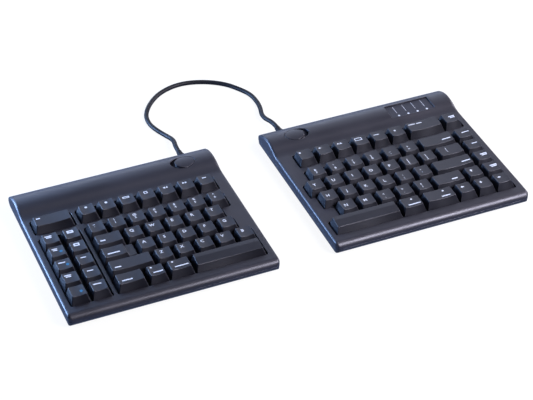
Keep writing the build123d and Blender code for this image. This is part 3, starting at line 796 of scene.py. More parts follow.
class Cap:
    """The form of one keycap over its place in the frame."""

    def __init__(self, low, high, form, edge_round):
        self.x, self.y = (low.x + high.x) / 2, (low.y + high.y) / 2
        self.half = ((high.x - low.x) / 2, (high.y - low.y) / 2)
        self.top_half = (self.half[0] - KEY_DRAW, self.half[1] - KEY_DRAW)
        self.top_y = self.y + KEY_SET_BACK
        self.stem_z = low.z
        if form == "bar":
            self.top_half = (self.top_half[0], self.top_half[1] - BAR_BACK)
            self.top_y += BAR_BACK
        self.form, self.edge_round = form, edge_round * (BAR_EDGE_SHARE if form == "bar" else 1)
        self.step_x = self.x + 2 * self.top_half[0] * (STEP_SHARE - 0.5)
        self.crease_y = self.top_y + 2 * self.top_half[1] * BAR_CREASE_SHARE

    def top(self, x, y):
        """Height of the top: dished across, stepped, or a bar that falls forward from its crease."""
        if self.form == "bar":
            before = self.crease_y - y
            if abs(before) < BAR_CREASE_ROUND:
                before = (before + BAR_CREASE_ROUND) ** 2 / (4 * BAR_CREASE_ROUND)
            return KEY_TOP_Z - max(0, before) * BAR_FALL / self.top_half[1]
        half, middle = self.top_half[0], self.x
        if self.form == "stepped":
            half *= STEP_SHARE
            middle = self.step_x - half
        dished = KEY_TOP_Z - DISH_DEPTH * (1 - min(1, ((x - middle) / half) ** 2))
        if self.form == "stepped" and x > self.step_x:
            down = min(1, (x - self.step_x) / STEP_RUN)
            return dished + (KEY_TOP_Z - STEP_DROP - dished) * (3 - 2 * down) * down ** 2
        return dished

    def top_normal(self, x, y):
        slope_x = (self.top(x + SLOPE_STEP, y) - self.top(x - SLOPE_STEP, y)) / (2 * SLOPE_STEP)
        slope_y = (self.top(x, y + SLOPE_STEP) - self.top(x, y - SLOPE_STEP)) / (2 * SLOPE_STEP)
        return Vector((-slope_x, -slope_y, 1)).normalized()

    def outline(self, half, radius, y, across, along):
        """A rounded outline with extra points along its sides, each with its outward direction."""
        back_across, back_along = [-share for share in across[::-1]], [-share for share in along[::-1]]
        sides = (((0, -1), across), ((1, 0), along), ((0, 1), back_across), ((-1, 0), back_along))
        rim = []
        for (nx, ny), shares in sides:
            run = (-ny, nx)
            reach = half[0] - radius if ny else half[1] - radius
            out = half[1] if ny else half[0]
            for share in [-1] + shares + [1]:
                place = (self.x + nx * out + run[0] * reach * share, y + ny * out + run[1] * reach * share)
                rim.append((*place, nx, ny))
            corner = (self.x + (nx + run[0]) * (half[0] - radius), y + (ny + run[1]) * (half[1] - radius))
            for turn in quarter(CAP_CORNER_STEPS)[1:-1]:
                ox = nx * math.cos(turn) + run[0] * math.sin(turn)
                oy = ny * math.cos(turn) + run[1] * math.sin(turn)
                rim.append((corner[0] + ox * radius, corner[1] + oy * radius, ox, oy))
        return rim

    def breaks(self):
        """Where the top needs points across and along it, as shares of the half sizes."""
        flat = self.top_half[0] - CAP_TOP_RADIUS
        count = BAR_COLUMNS if self.form == "bar" else max(LEAST_COLUMNS, round(flat / TOP_COLUMN_STEP))
        across = [2 * (i + 1) / (count + 1) - 1 for i in range(count)]
        along = list(DISH_ROW_SHARES)
        if self.form == "stepped":
            steps = [(self.step_x - self.x + STEP_RUN * share) / flat for share in EDGE_SHARES]
            gaps = [min(abs(share - step) for step in steps) for share in across]
            kept = [share for share, gap in zip(across, gaps) if gap > STEP_CLEARANCE_SHARE]
            across = sorted(kept + steps)
        if self.form == "bar":
            deep = self.top_half[1] - CAP_TOP_RADIUS
            crease = (self.crease_y - self.top_y) / deep
            turn = BAR_CREASE_ROUND / deep
            along = [BAR_END_ROW_SHARES[0], crease - turn, crease, crease + turn, BAR_END_ROW_SHARES[1]]
        return across, along

    def build(self, shell):
        """Adds the cap to a shell: skirt, rounded edge, sculpted top, hollow inside and stem."""
        across, along = self.breaks()
        foot = self.outline(self.half, CAP_FOOT_RADIUS, self.y, across, along)
        head = self.outline(self.top_half, CAP_TOP_RADIUS, self.top_y, across, along)
        flanks = [self.flank(low, high) for low, high in zip(foot, head)]
        rings = [shell.ring([base for base, _, _, _ in flanks], [wall for _, _, _, wall in flanks])]
        for step in CAP_EDGE_SHARES:
            points, normals = [], []
            for base, edge, out, wall in flanks:
                up = edge - base
                start = edge - up * (self.edge_round / up.z)
                end = edge - out * self.edge_round
                end.z = self.top(end.x, end.y)
                points.append(bend(start, edge, end, step))
                normals.append(slerp(wall, self.top_normal(end.x, end.y), step))
            rings.append(shell.ring(points, normals))
        shell.bands(rings)
        rows = []
        for share_y in along:
            y = self.top_y + share_y * (self.top_half[1] - CAP_TOP_RADIUS)
            row = [(self.x + share_x * (self.top_half[0] - CAP_TOP_RADIUS), y) for share_x in across]
            normals = [self.top_normal(*spot) for spot in row]
            rows.append(shell.ring([(*spot, self.top(*spot)) for spot in row], normals))
        lines = rows if self.form == "bar" else [list(line) for line in zip(*rows)]
        shell.fill([rings[-1]], [i for row in rows for i in row], lines)
        self.build_inside(shell, rings[0], foot, head)

    def flank(self, low, high):
        """One line up the side of the cap: its foot, where it meets the top, and which way it faces."""
        (x0, y0, nx, ny), (x1, y1, _, _) = low, high
        rise = KEY_TOP_Z - KEY_BASE_Z
        base, up = Vector((x0, y0, KEY_BASE_Z)), Vector((x1 - x0, y1 - y0, rise))
        share = 1.0
        for _ in range(FIT_ROUNDS):
            point = base + up * share
            share = (self.top(point.x, point.y) - KEY_BASE_Z) / rise
        out = Vector((nx, ny, 0))
        wall = (out - up * out.dot(up) / up.length_squared).normalized()
        return base, base + up * share, out, wall

    def build_inside(self, shell, skirt, foot, head):
        """The hollow under the cap: rim, inner walls, roof and the stem with its flat end."""
        roof_z = self.lowest() - KEY_ROOF
        share = (roof_z - KEY_BASE_Z) / (KEY_TOP_Z - KEY_BASE_Z)
        low = shell.ring([(x - nx * KEY_WALL, y - ny * KEY_WALL, KEY_BASE_Z) for x, y, nx, ny in foot])
        upper = []
        for (x0, y0, nx, ny), (x1, y1, _, _) in zip(foot, head):
            x, y = x0 + (x1 - x0) * share, y0 + (y1 - y0) * share
            upper.append((x - nx * KEY_WALL, y - ny * KEY_WALL, roof_z))
        high = shell.ring(upper)
        shell.bands([skirt, low, high])
        if self.form == "stepped":
            ceiling_z = KEY_TOP_Z - DISH_DEPTH - KEY_ROOF
            pocket = [self.square(shell, CHIMNEY_ROOM, z) for z in (roof_z, ceiling_z)]
            shell.fill([high, pocket[0]])
            shell.bands(pocket)
            high, roof_z = pocket[1], ceiling_z
        stem = [self.square(shell, STEM_WIDTH, z) for z in (roof_z, self.stem_z)]
        shell.fill([high, stem[0]])
        shell.bands(stem)
        shell.faces.append(tuple(stem[1]))

    def square(self, shell, width, z):
        """A ring round the middle of the key."""
        half = width / 2
        corners = box_corners(self.x - half, self.x + half, self.y - half, self.y + half)
        return shell.ring([(*corner, z) for corner in corners])

    def lowest(self):
        if self.form == "stepped":
            return KEY_TOP_Z - STEP_DROP
        if self.form == "bar":
            return KEY_TOP_Z - BAR_FALL * BAR_ROOF_SHARE
        return KEY_TOP_Z - DISH_DEPTH


def caps_of(node, edge_round):
    form = CAP_FORMS.get(node, "dished")
    return [Cap(low, high, form, edge_round) for low, high in key_boxes(node)]


# Printed marks


def curve_mesh(curve):
    """The mesh of a curve or a text, which is then removed."""
    holder = bpy.data.objects.new(curve.name, curve)
    mesh = bpy.data.meshes.new_from_object(holder)
    bpy.data.objects.remove(holder)
    bpy.data.curves.remove(curve)
    return mesh


def letter_mesh(text, height):
    """Flat printed letters in Blender's own font, centred, with the thickness of ink."""
    curve = bpy.data.curves.new("letters", "FONT")
    curve.body = text
    curve.size = height * MM / LETTER_HEIGHT_SHARE
    curve.align_x, curve.align_y = "CENTER", "CENTER"
    curve.resolution_u = LETTER_RESOLUTION
    curve.extrude = INK_THICKNESS * MM
    curve.offset = LETTER_WEIGHT * MM
    mesh = curve_mesh(curve)
    points = [Vector(v.co) / MM for v in mesh.vertices]
    faces = [tuple(face.vertices) for face in mesh.polygons]
    bpy.data.meshes.remove(mesh)
    return points, faces


def outline_mark(corners):
    """A flat mark between corners, as points and faces with the thickness of ink."""
    count = len(corners)
    points = [Vector((x, y, z)) for z in (-INK_THICKNESS, INK_THICKNESS) for x, y in corners]
    faces = [tuple(range(count))[::-1], tuple(range(count, 2 * count))]
    faces += [(i, (i + 1) % count, count + (i + 1) % count, count + i) for i in range(count)]
    return points, faces


def bar_mark(width, height):
    return outline_mark(box_corners(-width / 2, width / 2, -height / 2, height / 2))


def turned_mark(shape, size, turn):
    """A mark of a given shape and size, turned anticlockwise."""
    c, s = math.cos(turn), math.sin(turn)
    return outline_mark([(size * (x * c - y * s), size * (x * s + y * c)) for x, y in shape])


def arrow_mark(size, turn):
    """A plain arrow with a short tail, turned from pointing up."""
    return turned_mark(ARROW_SHAPE, size / 2, turn)


def dot_mark(width):
    return outline_mark([(width / 2 * cos, width / 2 * sin) for cos, sin in circle(DOT_SIDES)])


def joined(*parts):
    """Several marks as one, each with its place."""
    points, faces = [], []
    for (spots, sides), x, y in parts:
        first = len(points)
        points += [spot + Vector((x, y, 0)) for spot in spots]
        faces += [tuple(first + i for i in side) for side in sides]
    return points, faces


def frame_mark(width, height, line):
    """An open rectangle."""
    side, end = (width - line) / 2, (height - line) / 2
    bar, post = bar_mark(width, line), bar_mark(line, height - 2 * line)
    return joined((bar, 0, end), (bar, 0, -end), (post, side, 0), (post, -side, 0))


def pair_mark(size, turn):
    """Two arrowheads side by side, both turned the same way."""
    head = turned_mark(HEAD_SHAPE, size, turn)
    return joined((head, -HEAD_APART_SHARE * size, 0), (head, HEAD_APART_SHARE * size, 0))


def two_lines(width):
    """Two short lines, one over the other, where the real key has two words."""
    upper, lower = bar_mark(width, WORD_HEIGHT), bar_mark(width - LINE_CUT, WORD_HEIGHT)
    return joined((upper, LINE_X[0], LINE_RISE), (lower, LINE_X[1], -LINE_RISE))


MARK_MAKERS = {
    "text": letter_mesh,
    "bar": bar_mark,
    "arrow": arrow_mark,
    "dot": dot_mark,
    "frame": frame_mark,
    "heads": pair_mark,
    "lines": two_lines,
}


class Print:
    """Printed marks for the keys of one node, laid on their tops."""

    def __init__(self):
        self.points, self.faces, self.made = [], [], {}

    def add(self, cap, kind, x, y, *sizes):
        """Adds one mark at a place measured from the middle of the cap's top."""
        key = (kind,) + sizes
        if key not in self.made:
            self.made[key] = MARK_MAKERS[kind](*sizes)
        points, faces = self.made[key]
        first = len(self.points)
        for point in points:
            px, py = cap.x + x + point.x, cap.top_y + y + point.y
            self.points.append(Vector((px, py, cap.top(px, py) + PRINT_LIFT + point.z)) * MM)
        self.faces += [tuple(first + i for i in face) for face in faces]

    def mesh(self, name):
        mesh = bpy.data.meshes.new(name)
        mesh.from_pydata(self.points, [], self.faces)
        return mesh


def corner_x(cap, side, width, inset):
    """Distance from a cap's middle that puts a mark near its left or right end."""
    return side * (cap.top_half[0] - inset - width / 2)


def text_mark(text, height, y):
    return ("text", LETTER_X, y, text, height)


def pair_marks(caps, upper, lower, y):
    """Number keys and the like: a small sign above, the digit or sign below."""
    high_y, low_y = y + UPPER_SIGN_RISE, y - LOWER_SIGN_FALL
    return [(cap, [text_mark(high, SIGN_HEIGHT, high_y), text_mark(low, SIGN_HEIGHT, low_y)])
            for cap, high, low in zip(caps, upper, lower)]


def same_place(x, y, *shapes):
    """Marks for the keys of one node, all at the same place on their keys. A bare key has None."""
    return [shape and (shape[0], x, y, *shape[1:]) for shape in shapes]


def word_mark(cap, side, y, width, inset, icon_y=None):
    """A plain bar where the real key has a word, with a dot over it where the key also has a sign."""
    x = corner_x(cap, side, width, inset)
    marks = [("bar", x, y, width, WORD_HEIGHT)]
    if icon_y is not None:
        marks.append(("dot", x - (width / 2 if side < 0 else 0), icon_y, SMALL_SIGN))
    return cap, marks


# Letters of each node's keys from the left, and the upper and lower signs of those keys that have two
LETTERS = {
    "left_top_letter_keys": "QWERT",
    "left_home_letter_keys": "ASDFG",
    "left_bottom_letter_keys": "ZXCVB",
    "right_top_letter_keys": "YUIOP",
    "right_home_letter_keys": "HJKL",
    "right_bottom_letter_keys": "NM",
}
SIGNS = {
    "left_number_keys": ("~!@#$%^", "`123456"),
    "right_number_keys": ("&*()_+", "7890-="),
    "right_top_letter_keys": ("{}", "[]"),
    "right_home_letter_keys": (":\"", ";'"),
    "right_bottom_letter_keys": ("<>?", ",./"),
}

# Bars that stand for words: side, place along y, then each key's width, inset and place of its sign
WORDS = {
    "tab_key": (-1, -1.9, ((4.8, 3.0),)),
    "caps_lock_key": (-1, -2.3, ((11.0, 3.4),)),
    "left_shift_key": (-1, -3.0, ((5.8, 3.2),)),
    "left_modifier_keys": (-1, -2.9, ((9.6, 3.2), (8.8, 3.2, 4.2), (12.6, 3.8, 4.2))),
    "backspace_key": (1, -2.2, ((8.6, 2.3),)),
    "return_key": (1, -2.2, ((8.6, 1.4),)),
    "right_shift_key": (1, -3.4, ((5.8, 5.8),)),
    "right_modifier_keys": (1, -4.0, ((12.0, 1.4, 3.2), (8.4, 4.4, 3.2))),
    "wide_corner_key": (-1, 3.2, ((3.8, 2.2),)),
}

# One plain mark to a key, for the keys of a node in their order: kind, place on the key and sizes
SINGLE_MARKS = {
    "left_function_keys": same_place(
        -0.4, 2.6, ("dot", 2.6), ("frame", 6.4, 2.6, 0.8), ("frame", 3.6, 3.2, 0.7),
        ("heads", 2.2, RIGHT_ANGLE), ("heads", 2.2, -RIGHT_ANGLE), ("bar", 4.0, 1.2)),
    "right_function_keys": [
        ("dot", -4.2, 3.0, 2.2), ("arrow", -2.8, 3.0, 2.8, RIGHT_ANGLE), ("heads", -1.8, 2.8, 2.4, 0),
        ("frame", -1.4, 1.8, 7.4, 4.0, 0.7), ("bar", -1.6, 1.8, 5.4, 1.0), ("dot", -1.4, 1.0, 2.2)],
    "escape_key": same_place(-0.4, 2.8, ("dot", 2.4)),
    "arrow_keys": same_place(
        -1.8, 1.5, ("arrow", 3.4, RIGHT_ANGLE), ("arrow", 3.4, math.pi), ("arrow", 3.4, -RIGHT_ANGLE),
        ("arrow", 3.4, 0)),
    "navigation_keys": same_place(
        2.4, 0.4, ("lines", 7.0), ("lines", 6.6), ("bar", 5.2, 1.1), ("bar", 7.4, 1.1), ("lines", 6.2)),
    "side_outer_keys": same_place(
        -1.4, 2.2, None, ("lines", 6.2), ("bar", 6.4, 1.2), ("lines", 5.2), ("lines", 6.4)),
    "side_inner_keys": same_place(
        -0.8, 2.0, ("bar", 7.4, 1.3), ("bar", 5.6, 1.2), ("bar", 5.0, 1.1), ("frame", 5.4, 3.8, 1.2),
        ("frame", 6.0, 3.8, 1.5)),
}

# The two signs of the key at the end of the top letter row, each with its place along y
SLASH_X = -3.4
SLASH_SIGNS = (("|", 2.6), ("\\", -1.1))

# The two bars of the wide function key
WIDE_KEY_Y = 3.4
WIDE_KEY_INSET = 1.8
WIDE_KEY_LINE = 1.1
WIDE_KEY_WIDTHS = (7.0, 5.6)
WIDE_KEY_APART = 7.6

# The outer side keys that also carry a blue dot, counted from the front
BLUE_KEYS = (0, 2, 3)
BLUE_DOT = ("dot", 3.0, -1.4, 3.0)


def white_marks(node, caps):
    """The light marks of each key of a node."""
    marks = []
    y = RIGHT_LETTER_Y if node.startswith("right") else LEFT_LETTER_Y
    letters = LETTERS.get(node, "")
    marks += [(cap, [text_mark(letter, LETTER_HEIGHT, y)]) for cap, letter in zip(caps, letters)]
    if node in SIGNS:
        marks += pair_marks(caps[len(letters):], *SIGNS[node], y)
    if node in WORDS:
        side, y, words = WORDS[node]
        marks += [word_mark(cap, side, y, *word) for cap, word in zip(caps, words)]
    marks += [(cap, [mark]) for cap, mark in zip(caps, SINGLE_MARKS.get(node, ())) if mark]
    if node == "backslash_key":
        marks.append((caps[0], [("text", SLASH_X, y, sign, SIGN_HEIGHT) for sign, y in SLASH_SIGNS]))
    if node == "right_wide_function_key":
        first = corner_x(caps[0], -1, WIDE_KEY_WIDTHS[0], WIDE_KEY_INSET)
        bars = zip((first, first + WIDE_KEY_APART), WIDE_KEY_WIDTHS)
        marks.append((caps[0], [("bar", x, WIDE_KEY_Y, width, WIDE_KEY_LINE) for x, width in bars]))
    return marks


def blue_marks(node, caps):
    """The second, blue marks of the side keys."""
    return [(caps[i], [BLUE_DOT]) for i in BLUE_KEYS] if node == "side_outer_keys" else []


def print_marks(name, groups, material, body):
    """Prints the marks of one node as one piece on that node's body."""
    ink = Print()
    for cap, marks in groups:
        for kind, x, y, *sizes in marks:
            ink.add(cap, kind, x, y, *sizes)
    return add_piece(name, ink.mesh(name), material, body)


# Smaller pieces


def oval_place(module):
    low, high = box_of(module.side + "_oval_cap")
    return (low.x + high.x) / 2, module.rear - OVAL_FROM_REAR


def oval_hole(module):
    x, y = oval_place(module)
    return Hole(oval_rim(x, y, OVAL_LENGTH / 2, OVAL_WIDTH / 2), LIP_ROUND)


def ray_to_oval(dx, dy, centre_x, half_length, half_width):
    """Distance from the origin along a direction to an oval whose middle is at centre_x."""
    a = (dx / half_length) ** 2 + (dy / half_width) ** 2
    b = -2 * dx * centre_x / half_length ** 2
    c = (centre_x / half_length) ** 2 - 1
    return (-b + math.sqrt(b * b - 4 * a * c)) / (2 * a)


def oval_cap_shell(module):
    """The snap-in oval cap: flush with the hump, with a finger crescent at its outer end."""
    shell = Shell()
    x, y = oval_place(module)
    long, wide = OVAL_LENGTH / 2 - OVAL_GAP, OVAL_WIDTH / 2 - OVAL_GAP
    seat_z = box_of(module.side + "_oval_cap")[0].z + WALL
    pit_z = seat_z + WALL / 2
    directions = circle(OVAL_STEPS)
    plain_reach = [ray_to_oval(dx, dy, 0, long, wide) for dx, dy in directions]
    middle = module.inner * CRESCENT
    cut_reach = [ray_to_oval(dx, dy, middle, OVAL_LENGTH / 2, OVAL_WIDTH / 2) for dx, dy in directions]
    cut_reach = [min(reaches) for reaches in zip(plain_reach, cut_reach)]

    def loop(reaches, inset, height):
        places = []
        for (dx, dy), reach in zip(directions, reaches):
            places.append((x + dx * (reach - inset), y + dy * (reach - inset), height))
        return places

    outward = [Vector((dx, dy, 0)) for dx, dy in directions]
    base = [shell.ring(loop(plain_reach, 0, seat_z), outward), shell.ring(loop(plain_reach, 0, pit_z))]
    shell.bands(base)
    shell.fill([base[0]])
    rings = [base[1], shell.ring(loop(cut_reach, 0, pit_z))]
    for inset, down, share in edge_turns(OVAL_ROUND, EDGE_STEPS):
        spots = [(px, py, module.top(py)[0] - down) for px, py, _ in loop(cut_reach, inset, 0)]
        normals = [slerp(out, module.top_normal(py), share) for out, (_, py, _) in zip(outward, spots)]
        rings.append(shell.ring(spots, normals))
    shell.bands(rings)
    spots, normals = [], []
    steps = range(-OVAL_GRID_REACH, OVAL_GRID_REACH + 1)
    for dx, dy in [(i * OVAL_GRID[0], j * OVAL_GRID[1]) for i in steps for j in steps]:
        reach = cut_reach[round(math.atan2(dy, dx) / math.tau * OVAL_STEPS) % OVAL_STEPS]
        if math.hypot(dx, dy) < reach - OVAL_ROUND - OVAL_GRID_MARGIN:
            spots.append((x + dx, y + dy, module.top(y + dy)[0]))
            normals.append(module.top_normal(y + dy))
    shell.fill([rings[-1]], shell.ring(spots, normals))
    return shell


def window_hole():
    low, high = box_of("indicator_window")
    gap = WINDOW_GAP
    corners = box_corners(low.x - gap, high.x + gap, low.y - gap, high.y + gap)
    return Hole(rounded(corners, WINDOW_CORNER_RADIUS), LIP_ROUND)


def sleeve_profile():
    """The grommet behind the wall: a lip, a tapering sleeve with flexing grooves and a rounded end."""
    profile = list(SLEEVE_LIP)
    for i in range(SLEEVE_GROOVES):
        start = SLEEVE_GROOVE_START + i * SLEEVE_GROOVE_PITCH
        radius = SLEEVE_RADIUS - SLEEVE_TAPER * start / SLEEVE_LENGTH
        profile += [(radius - depth, start + run) for depth, run in SLEEVE_GROOVE]
    return profile + list(SLEEVE_END)


def sleeve_shell(x, y, z):
    """A cable sleeve round its exit line, closed at both ends."""
    shell = Shell()
    rings = []
    for radius, depth in sleeve_profile():
        spots = [(x + radius * cos, y + depth, z + radius * sin) for cos, sin in circle(SLEEVE_SIDES)]
        rings.append(shell.ring(spots))
    shell.bands(rings)
    shell.faces += [tuple(rings[0]), tuple(rings[-1])]
    return shell


def cable_line():
    """Points along the smooth curve that the route's points control, in metres."""
    curve = bpy.data.curves.new("cable_line", "CURVE")
    curve.dimensions = "3D"
    curve.resolution_u = CABLE_RESOLUTION
    spline = curve.splines.new("NURBS")
    spline.points.add(len(CABLE_ROUTE) - 1)
    for spot, point in zip(spline.points, CABLE_ROUTE):
        spot.co = (*(Vector(point) * MM), 1)
    spline.order_u = CABLE_ORDER
    spline.use_endpoint_u = True
    mesh = curve_mesh(curve)
    line = [Vector(v.co) for v in mesh.vertices]
    bpy.data.meshes.remove(mesh)
    return line


def tube_mesh(line, radius):
    """A round tube along a line of points, closed at its ends."""
    shell = Shell()
    rings = []
    for i, point in enumerate(line):
        ahead = (line[min(i + 1, len(line) - 1)] - line[max(i - 1, 0)]).normalized()
        side = ahead.cross(Z_UP).normalized()
        rise = side.cross(ahead)
        outs = [side * cos + rise * sin for cos, sin in circle(CABLE_SIDES)]
        rings.append(shell.ring([point / MM + out * radius for out in outs], outs))
    shell.bands(rings)
    shell.faces += [tuple(rings[0]), tuple(rings[-1])]
    return shell.mesh("link_cable_tube")


def add_slab(shell, low, high, corner_radius, edge_radius, steps, up=1):
    """A slab with rounded corners in plan and a rounded edge on its upper or its lower side."""
    rim = rounded(box_corners(low.x, high.x, low.y, high.y), corner_radius)
    flat_z, round_z = (low.z, high.z) if up > 0 else (high.z, low.z)
    rings = [shell.ring([(x, y, flat_z) for (x, y), _ in rim])]
    for inset, down, share in edge_turns(edge_radius, steps):
        spots = [(x - nx * inset, y - ny * inset, round_z - up * down) for (x, y), (nx, ny) in rim]
        normals = [slerp(Vector((nx, ny, 0)), Z_UP * up, share) for _, (nx, ny) in rim]
        rings.append(shell.ring(spots, normals))
    shell.bands(rings)
    shell.fill([rings[0]])
    shell.fill([rings[-1]])


# Finishes


def empty_tree(item):
    """The node tree of a new material or world, without its usual nodes."""
    item.use_nodes = True
    item.node_tree.nodes.clear()
    return item.node_tree


def add_node(tree, kind, values=(), links=()):
    """A new node with the values and the incoming links of its inputs."""
    node = tree.nodes.new(kind)
    for name, value in dict(values).items():
        node.inputs[name].default_value = value
    for name, source in dict(links).items():
        tree.links.new(source, node.inputs[name])
    return node


def noise(tree, coordinates, size, detail):
    """A noise pattern with features of about this size in metres."""
    values = {"Scale": 1 / size, "Detail": detail}
    return add_node(tree, "ShaderNodeTexNoise", values, {"Vector": coordinates}).outputs["Fac"]


def mapped(tree, source, ends, low, high):
    """Maps a range of a pattern or a place onto a range of values."""
    values = {"From Min": ends[0], "From Max": ends[1], "To Min": low, "To Max": high}
    return add_node(tree, "ShaderNodeMapRange", values, {"Value": source}).outputs["Result"]


def geometry(tree, output, axis):
    """One coordinate of the place or of the direction that a surface faces."""
    source = tree.nodes.new("ShaderNodeNewGeometry").outputs[output]
    return add_node(tree, "ShaderNodeSeparateXYZ", links={"Vector": source}).outputs[axis]


def two_tones(tree, source, colour, drift):
    """A colour that drifts a little lighter and darker with a pattern."""
    node = add_node(tree, "ShaderNodeValToRGB", links={"Fac": source})
    for end, place, share in zip(node.color_ramp.elements, PATTERN_ENDS, (1 - drift, 1 + drift)):
        end.position = place
        end.color = (*[value * share for value in colour], 1.0)
    return node.outputs["Color"]


def moulded(name, colour, roughness, finish, metallic=0.0):
    """Moulded plastic or metal: a fine grain, slow changes of gloss and a slight drift of colour."""
    grain, depth, specular, drift = finish
    material = bpy.data.materials.new(name)
    tree = empty_tree(material)
    coordinates = tree.nodes.new("ShaderNodeTexCoord").outputs["Object"]
    slow = noise(tree, coordinates, BROAD_PATTERN, BROAD_DETAIL)
    bump = add_node(tree, "ShaderNodeBump", {"Distance": depth, "Strength": GRAIN_STRENGTH},
                    {"Height": noise(tree, coordinates, grain, GRAIN_DETAIL)})
    values = {"Specular IOR Level": specular, "Specular Tint": (*SHEEN_TINT, 1), "Metallic": metallic}
    links = {
        "Base Color": two_tones(tree, slow, colour, drift),
        "Roughness": mapped(tree, slow, PATTERN_ENDS, roughness - GLOSS_DRIFT, roughness + GLOSS_DRIFT),
        "Normal": bump.outputs["Normal"],
    }
    shader = add_node(tree, "ShaderNodeBsdfPrincipled", values, links)
    add_node(tree, "ShaderNodeOutputMaterial", links={"Surface": shader.outputs["BSDF"]})
    return material


def printed(name, colour):
    """Matt printing ink."""
    return moulded(name, colour, INK_ROUGHNESS, INK_FINISH)


def painted_sheen_and_shade(material):
    """Keycaps: painted sheen and shade by which way a face looks; the tops reflect more, and the flanks less
    so that they render darker.
    """
    tree = material.node_tree
    # Painted shade: faces that look sideways get a lower specular level than the tops
    level = mapped(tree, geometry(tree, "Normal", "Z"), CAP_SHADE_FACING, *CAP_SHEEN_AND_SHADE_LEVELS)
    tree.links.new(level, tree.nodes["Principled BSDF"].inputs["Specular IOR Level"])


def mixed(tree, share, first, second):
    """A mix of two shaders."""
    return add_node(tree, "ShaderNodeMixShader", links={"Fac": share, 1: first, 2: second}).outputs["Shader"]


def glow(tree, colour):
    """An even glow of one colour."""
    return add_node(tree, "ShaderNodeEmission", {"Color": (*colour, 1)}).outputs["Emission"]


def studio_white(name):
    """The floor: lit by the lamps, so that it keeps the shadow, and white to the camera.

    In a gloss it glows with painted light: a painted reflection brighter than white in front of the object,
    and a painted shade, cooler and darker, beside and behind it.
    """
    material = bpy.data.materials.new(name)
    tree = empty_tree(material)
    lit = add_node(tree, "ShaderNodeBsdfDiffuse", {"Color": (*FLOOR_COLOUR, 1)}).outputs["BSDF"]
    path = tree.nodes.new("ShaderNodeLightPath")
    share = add_node(tree, "ShaderNodeMath", {1: FLOOR_GLOW_SHARE}, {0: path.outputs["Is Camera Ray"]})
    share.operation = "MULTIPLY"
    seen = mixed(tree, share.outputs["Value"], lit, glow(tree, CAMERA_WHITE))
    # Painted shade and reflection: glossy rays see a glow that is darker and bluer near the object and
    # brighter far in front
    ahead = mapped(tree, geometry(tree, "Position", "Y"), (FLOOR_NEAR_Y, FLOOR_FAR_Y), 0, 1)
    gloss = mixed(tree, ahead, glow(tree, FLOOR_NEAR_PAINTED_SHADE), glow(tree, FLOOR_FAR_PAINTED_REFLECTION))
    surface = mixed(tree, path.outputs["Is Glossy Ray"], seen, gloss)
    add_node(tree, "ShaderNodeOutputMaterial", links={"Surface": surface})
    return material


# Settings


def length_setting(name, description, default):
    return bpy.props.FloatProperty(name=name, description=description, default=default * MM, min=0,
                                   subtype="DISTANCE", unit="LENGTH")


def colour_setting(name, description, default):
    return bpy.props.FloatVectorProperty(name=name, description=description, default=default, size=3,
                                         min=0, max=1, subtype="COLOR")


def share_setting(name, description, default):
    return bpy.props.FloatProperty(name=name, description=description, default=default, min=0, max=1,
                                   subtype="FACTOR")


class CaseSettings(bpy.types.PropertyGroup):
    """Finish of the two cases."""

    edge_round: length_setting("Edge rounding", "Rounding between the sides and the top", 3.0)
    foot_round: length_setting("Foot rounding", "Rounding between the sides and the floor", 0.9)
    colour: colour_setting("Colour", "Base colour of the case plastic", (0.006, 0.0056, 0.0098))
    gloss: share_setting("Roughness", "Roughness of the case plastic", 0.42)


class CapSettings(bpy.types.PropertyGroup):
    """Shape and finish of the keycaps."""

    edge_round: length_setting("Edge rounding", "Rounding of the caps' top edges", 0.28)
    colour: colour_setting("Colour", "Base colour of the keycap plastic", (0.004, 0.0042, 0.0072))
    gloss: share_setting("Roughness", "Roughness of the keycap plastic", 0.38)
    white: colour_setting("Mark colour", "Colour of the printed marks", (0.42, 0.45, 0.52))
    blue: colour_setting("Second mark colour", "Colour of the second printed marks", (0.01, 0.095, 0.2))


class CableSettings(bpy.types.PropertyGroup):
    """Size and finish of the link cable."""

    diameter: length_setting("Diameter", "Outer diameter of the link cable", 4.5)
    colour: colour_setting("Colour", "Colour of the cable and its sleeves", (0.0035, 0.0033, 0.0045))


class StudioSettings(bpy.types.PropertyGroup):
    """Camera and light."""

    lens: bpy.props.FloatProperty(name="Lens", description="Focal length of the camera", default=118.75,
                                  min=1, unit="CAMERA")
    azimuth: bpy.props.FloatProperty(name="Azimuth", description="Direction of the camera round the object",
                                     default=math.radians(-22.75), subtype="ANGLE", unit="ROTATION")
    elevation: bpy.props.FloatProperty(name="Elevation", description="Height of the camera over the object",
                                       default=math.radians(38.23), subtype="ANGLE", unit="ROTATION")
    distance: length_setting("Distance", "Distance from the camera to the middle of the view", 1626.36)
    world_light: share_setting("Room light", "Strength of the even light of the room", 0.04)


# Operators


class KEYBOARD_OT_add_camera(bpy.types.Operator):
    """Places the camera at the angle from which the keyboard is shown"""

    bl_idname = "keyboard.add_camera"
    bl_label = "Camera"

    def execute(self, context):
        studio = context.scene.keyboard_studio
        camera = add_object("view", bpy.data.cameras.new("view"))
        camera.data.lens = studio.lens
        camera.data.sensor_width = SENSOR_WIDTH
        camera.data.clip_end = CLIP_END
        az, el = studio.azimuth, studio.elevation
        away = Vector((math.sin(az) * math.cos(el), -math.cos(az) * math.cos(el), math.sin(el)))
        camera.location = VIEW_MIDDLE + away * studio.distance
        camera.rotation_euler = (-away).to_track_quat("-Z", "Y").to_euler()
        context.scene.camera = camera
        return {"FINISHED"}


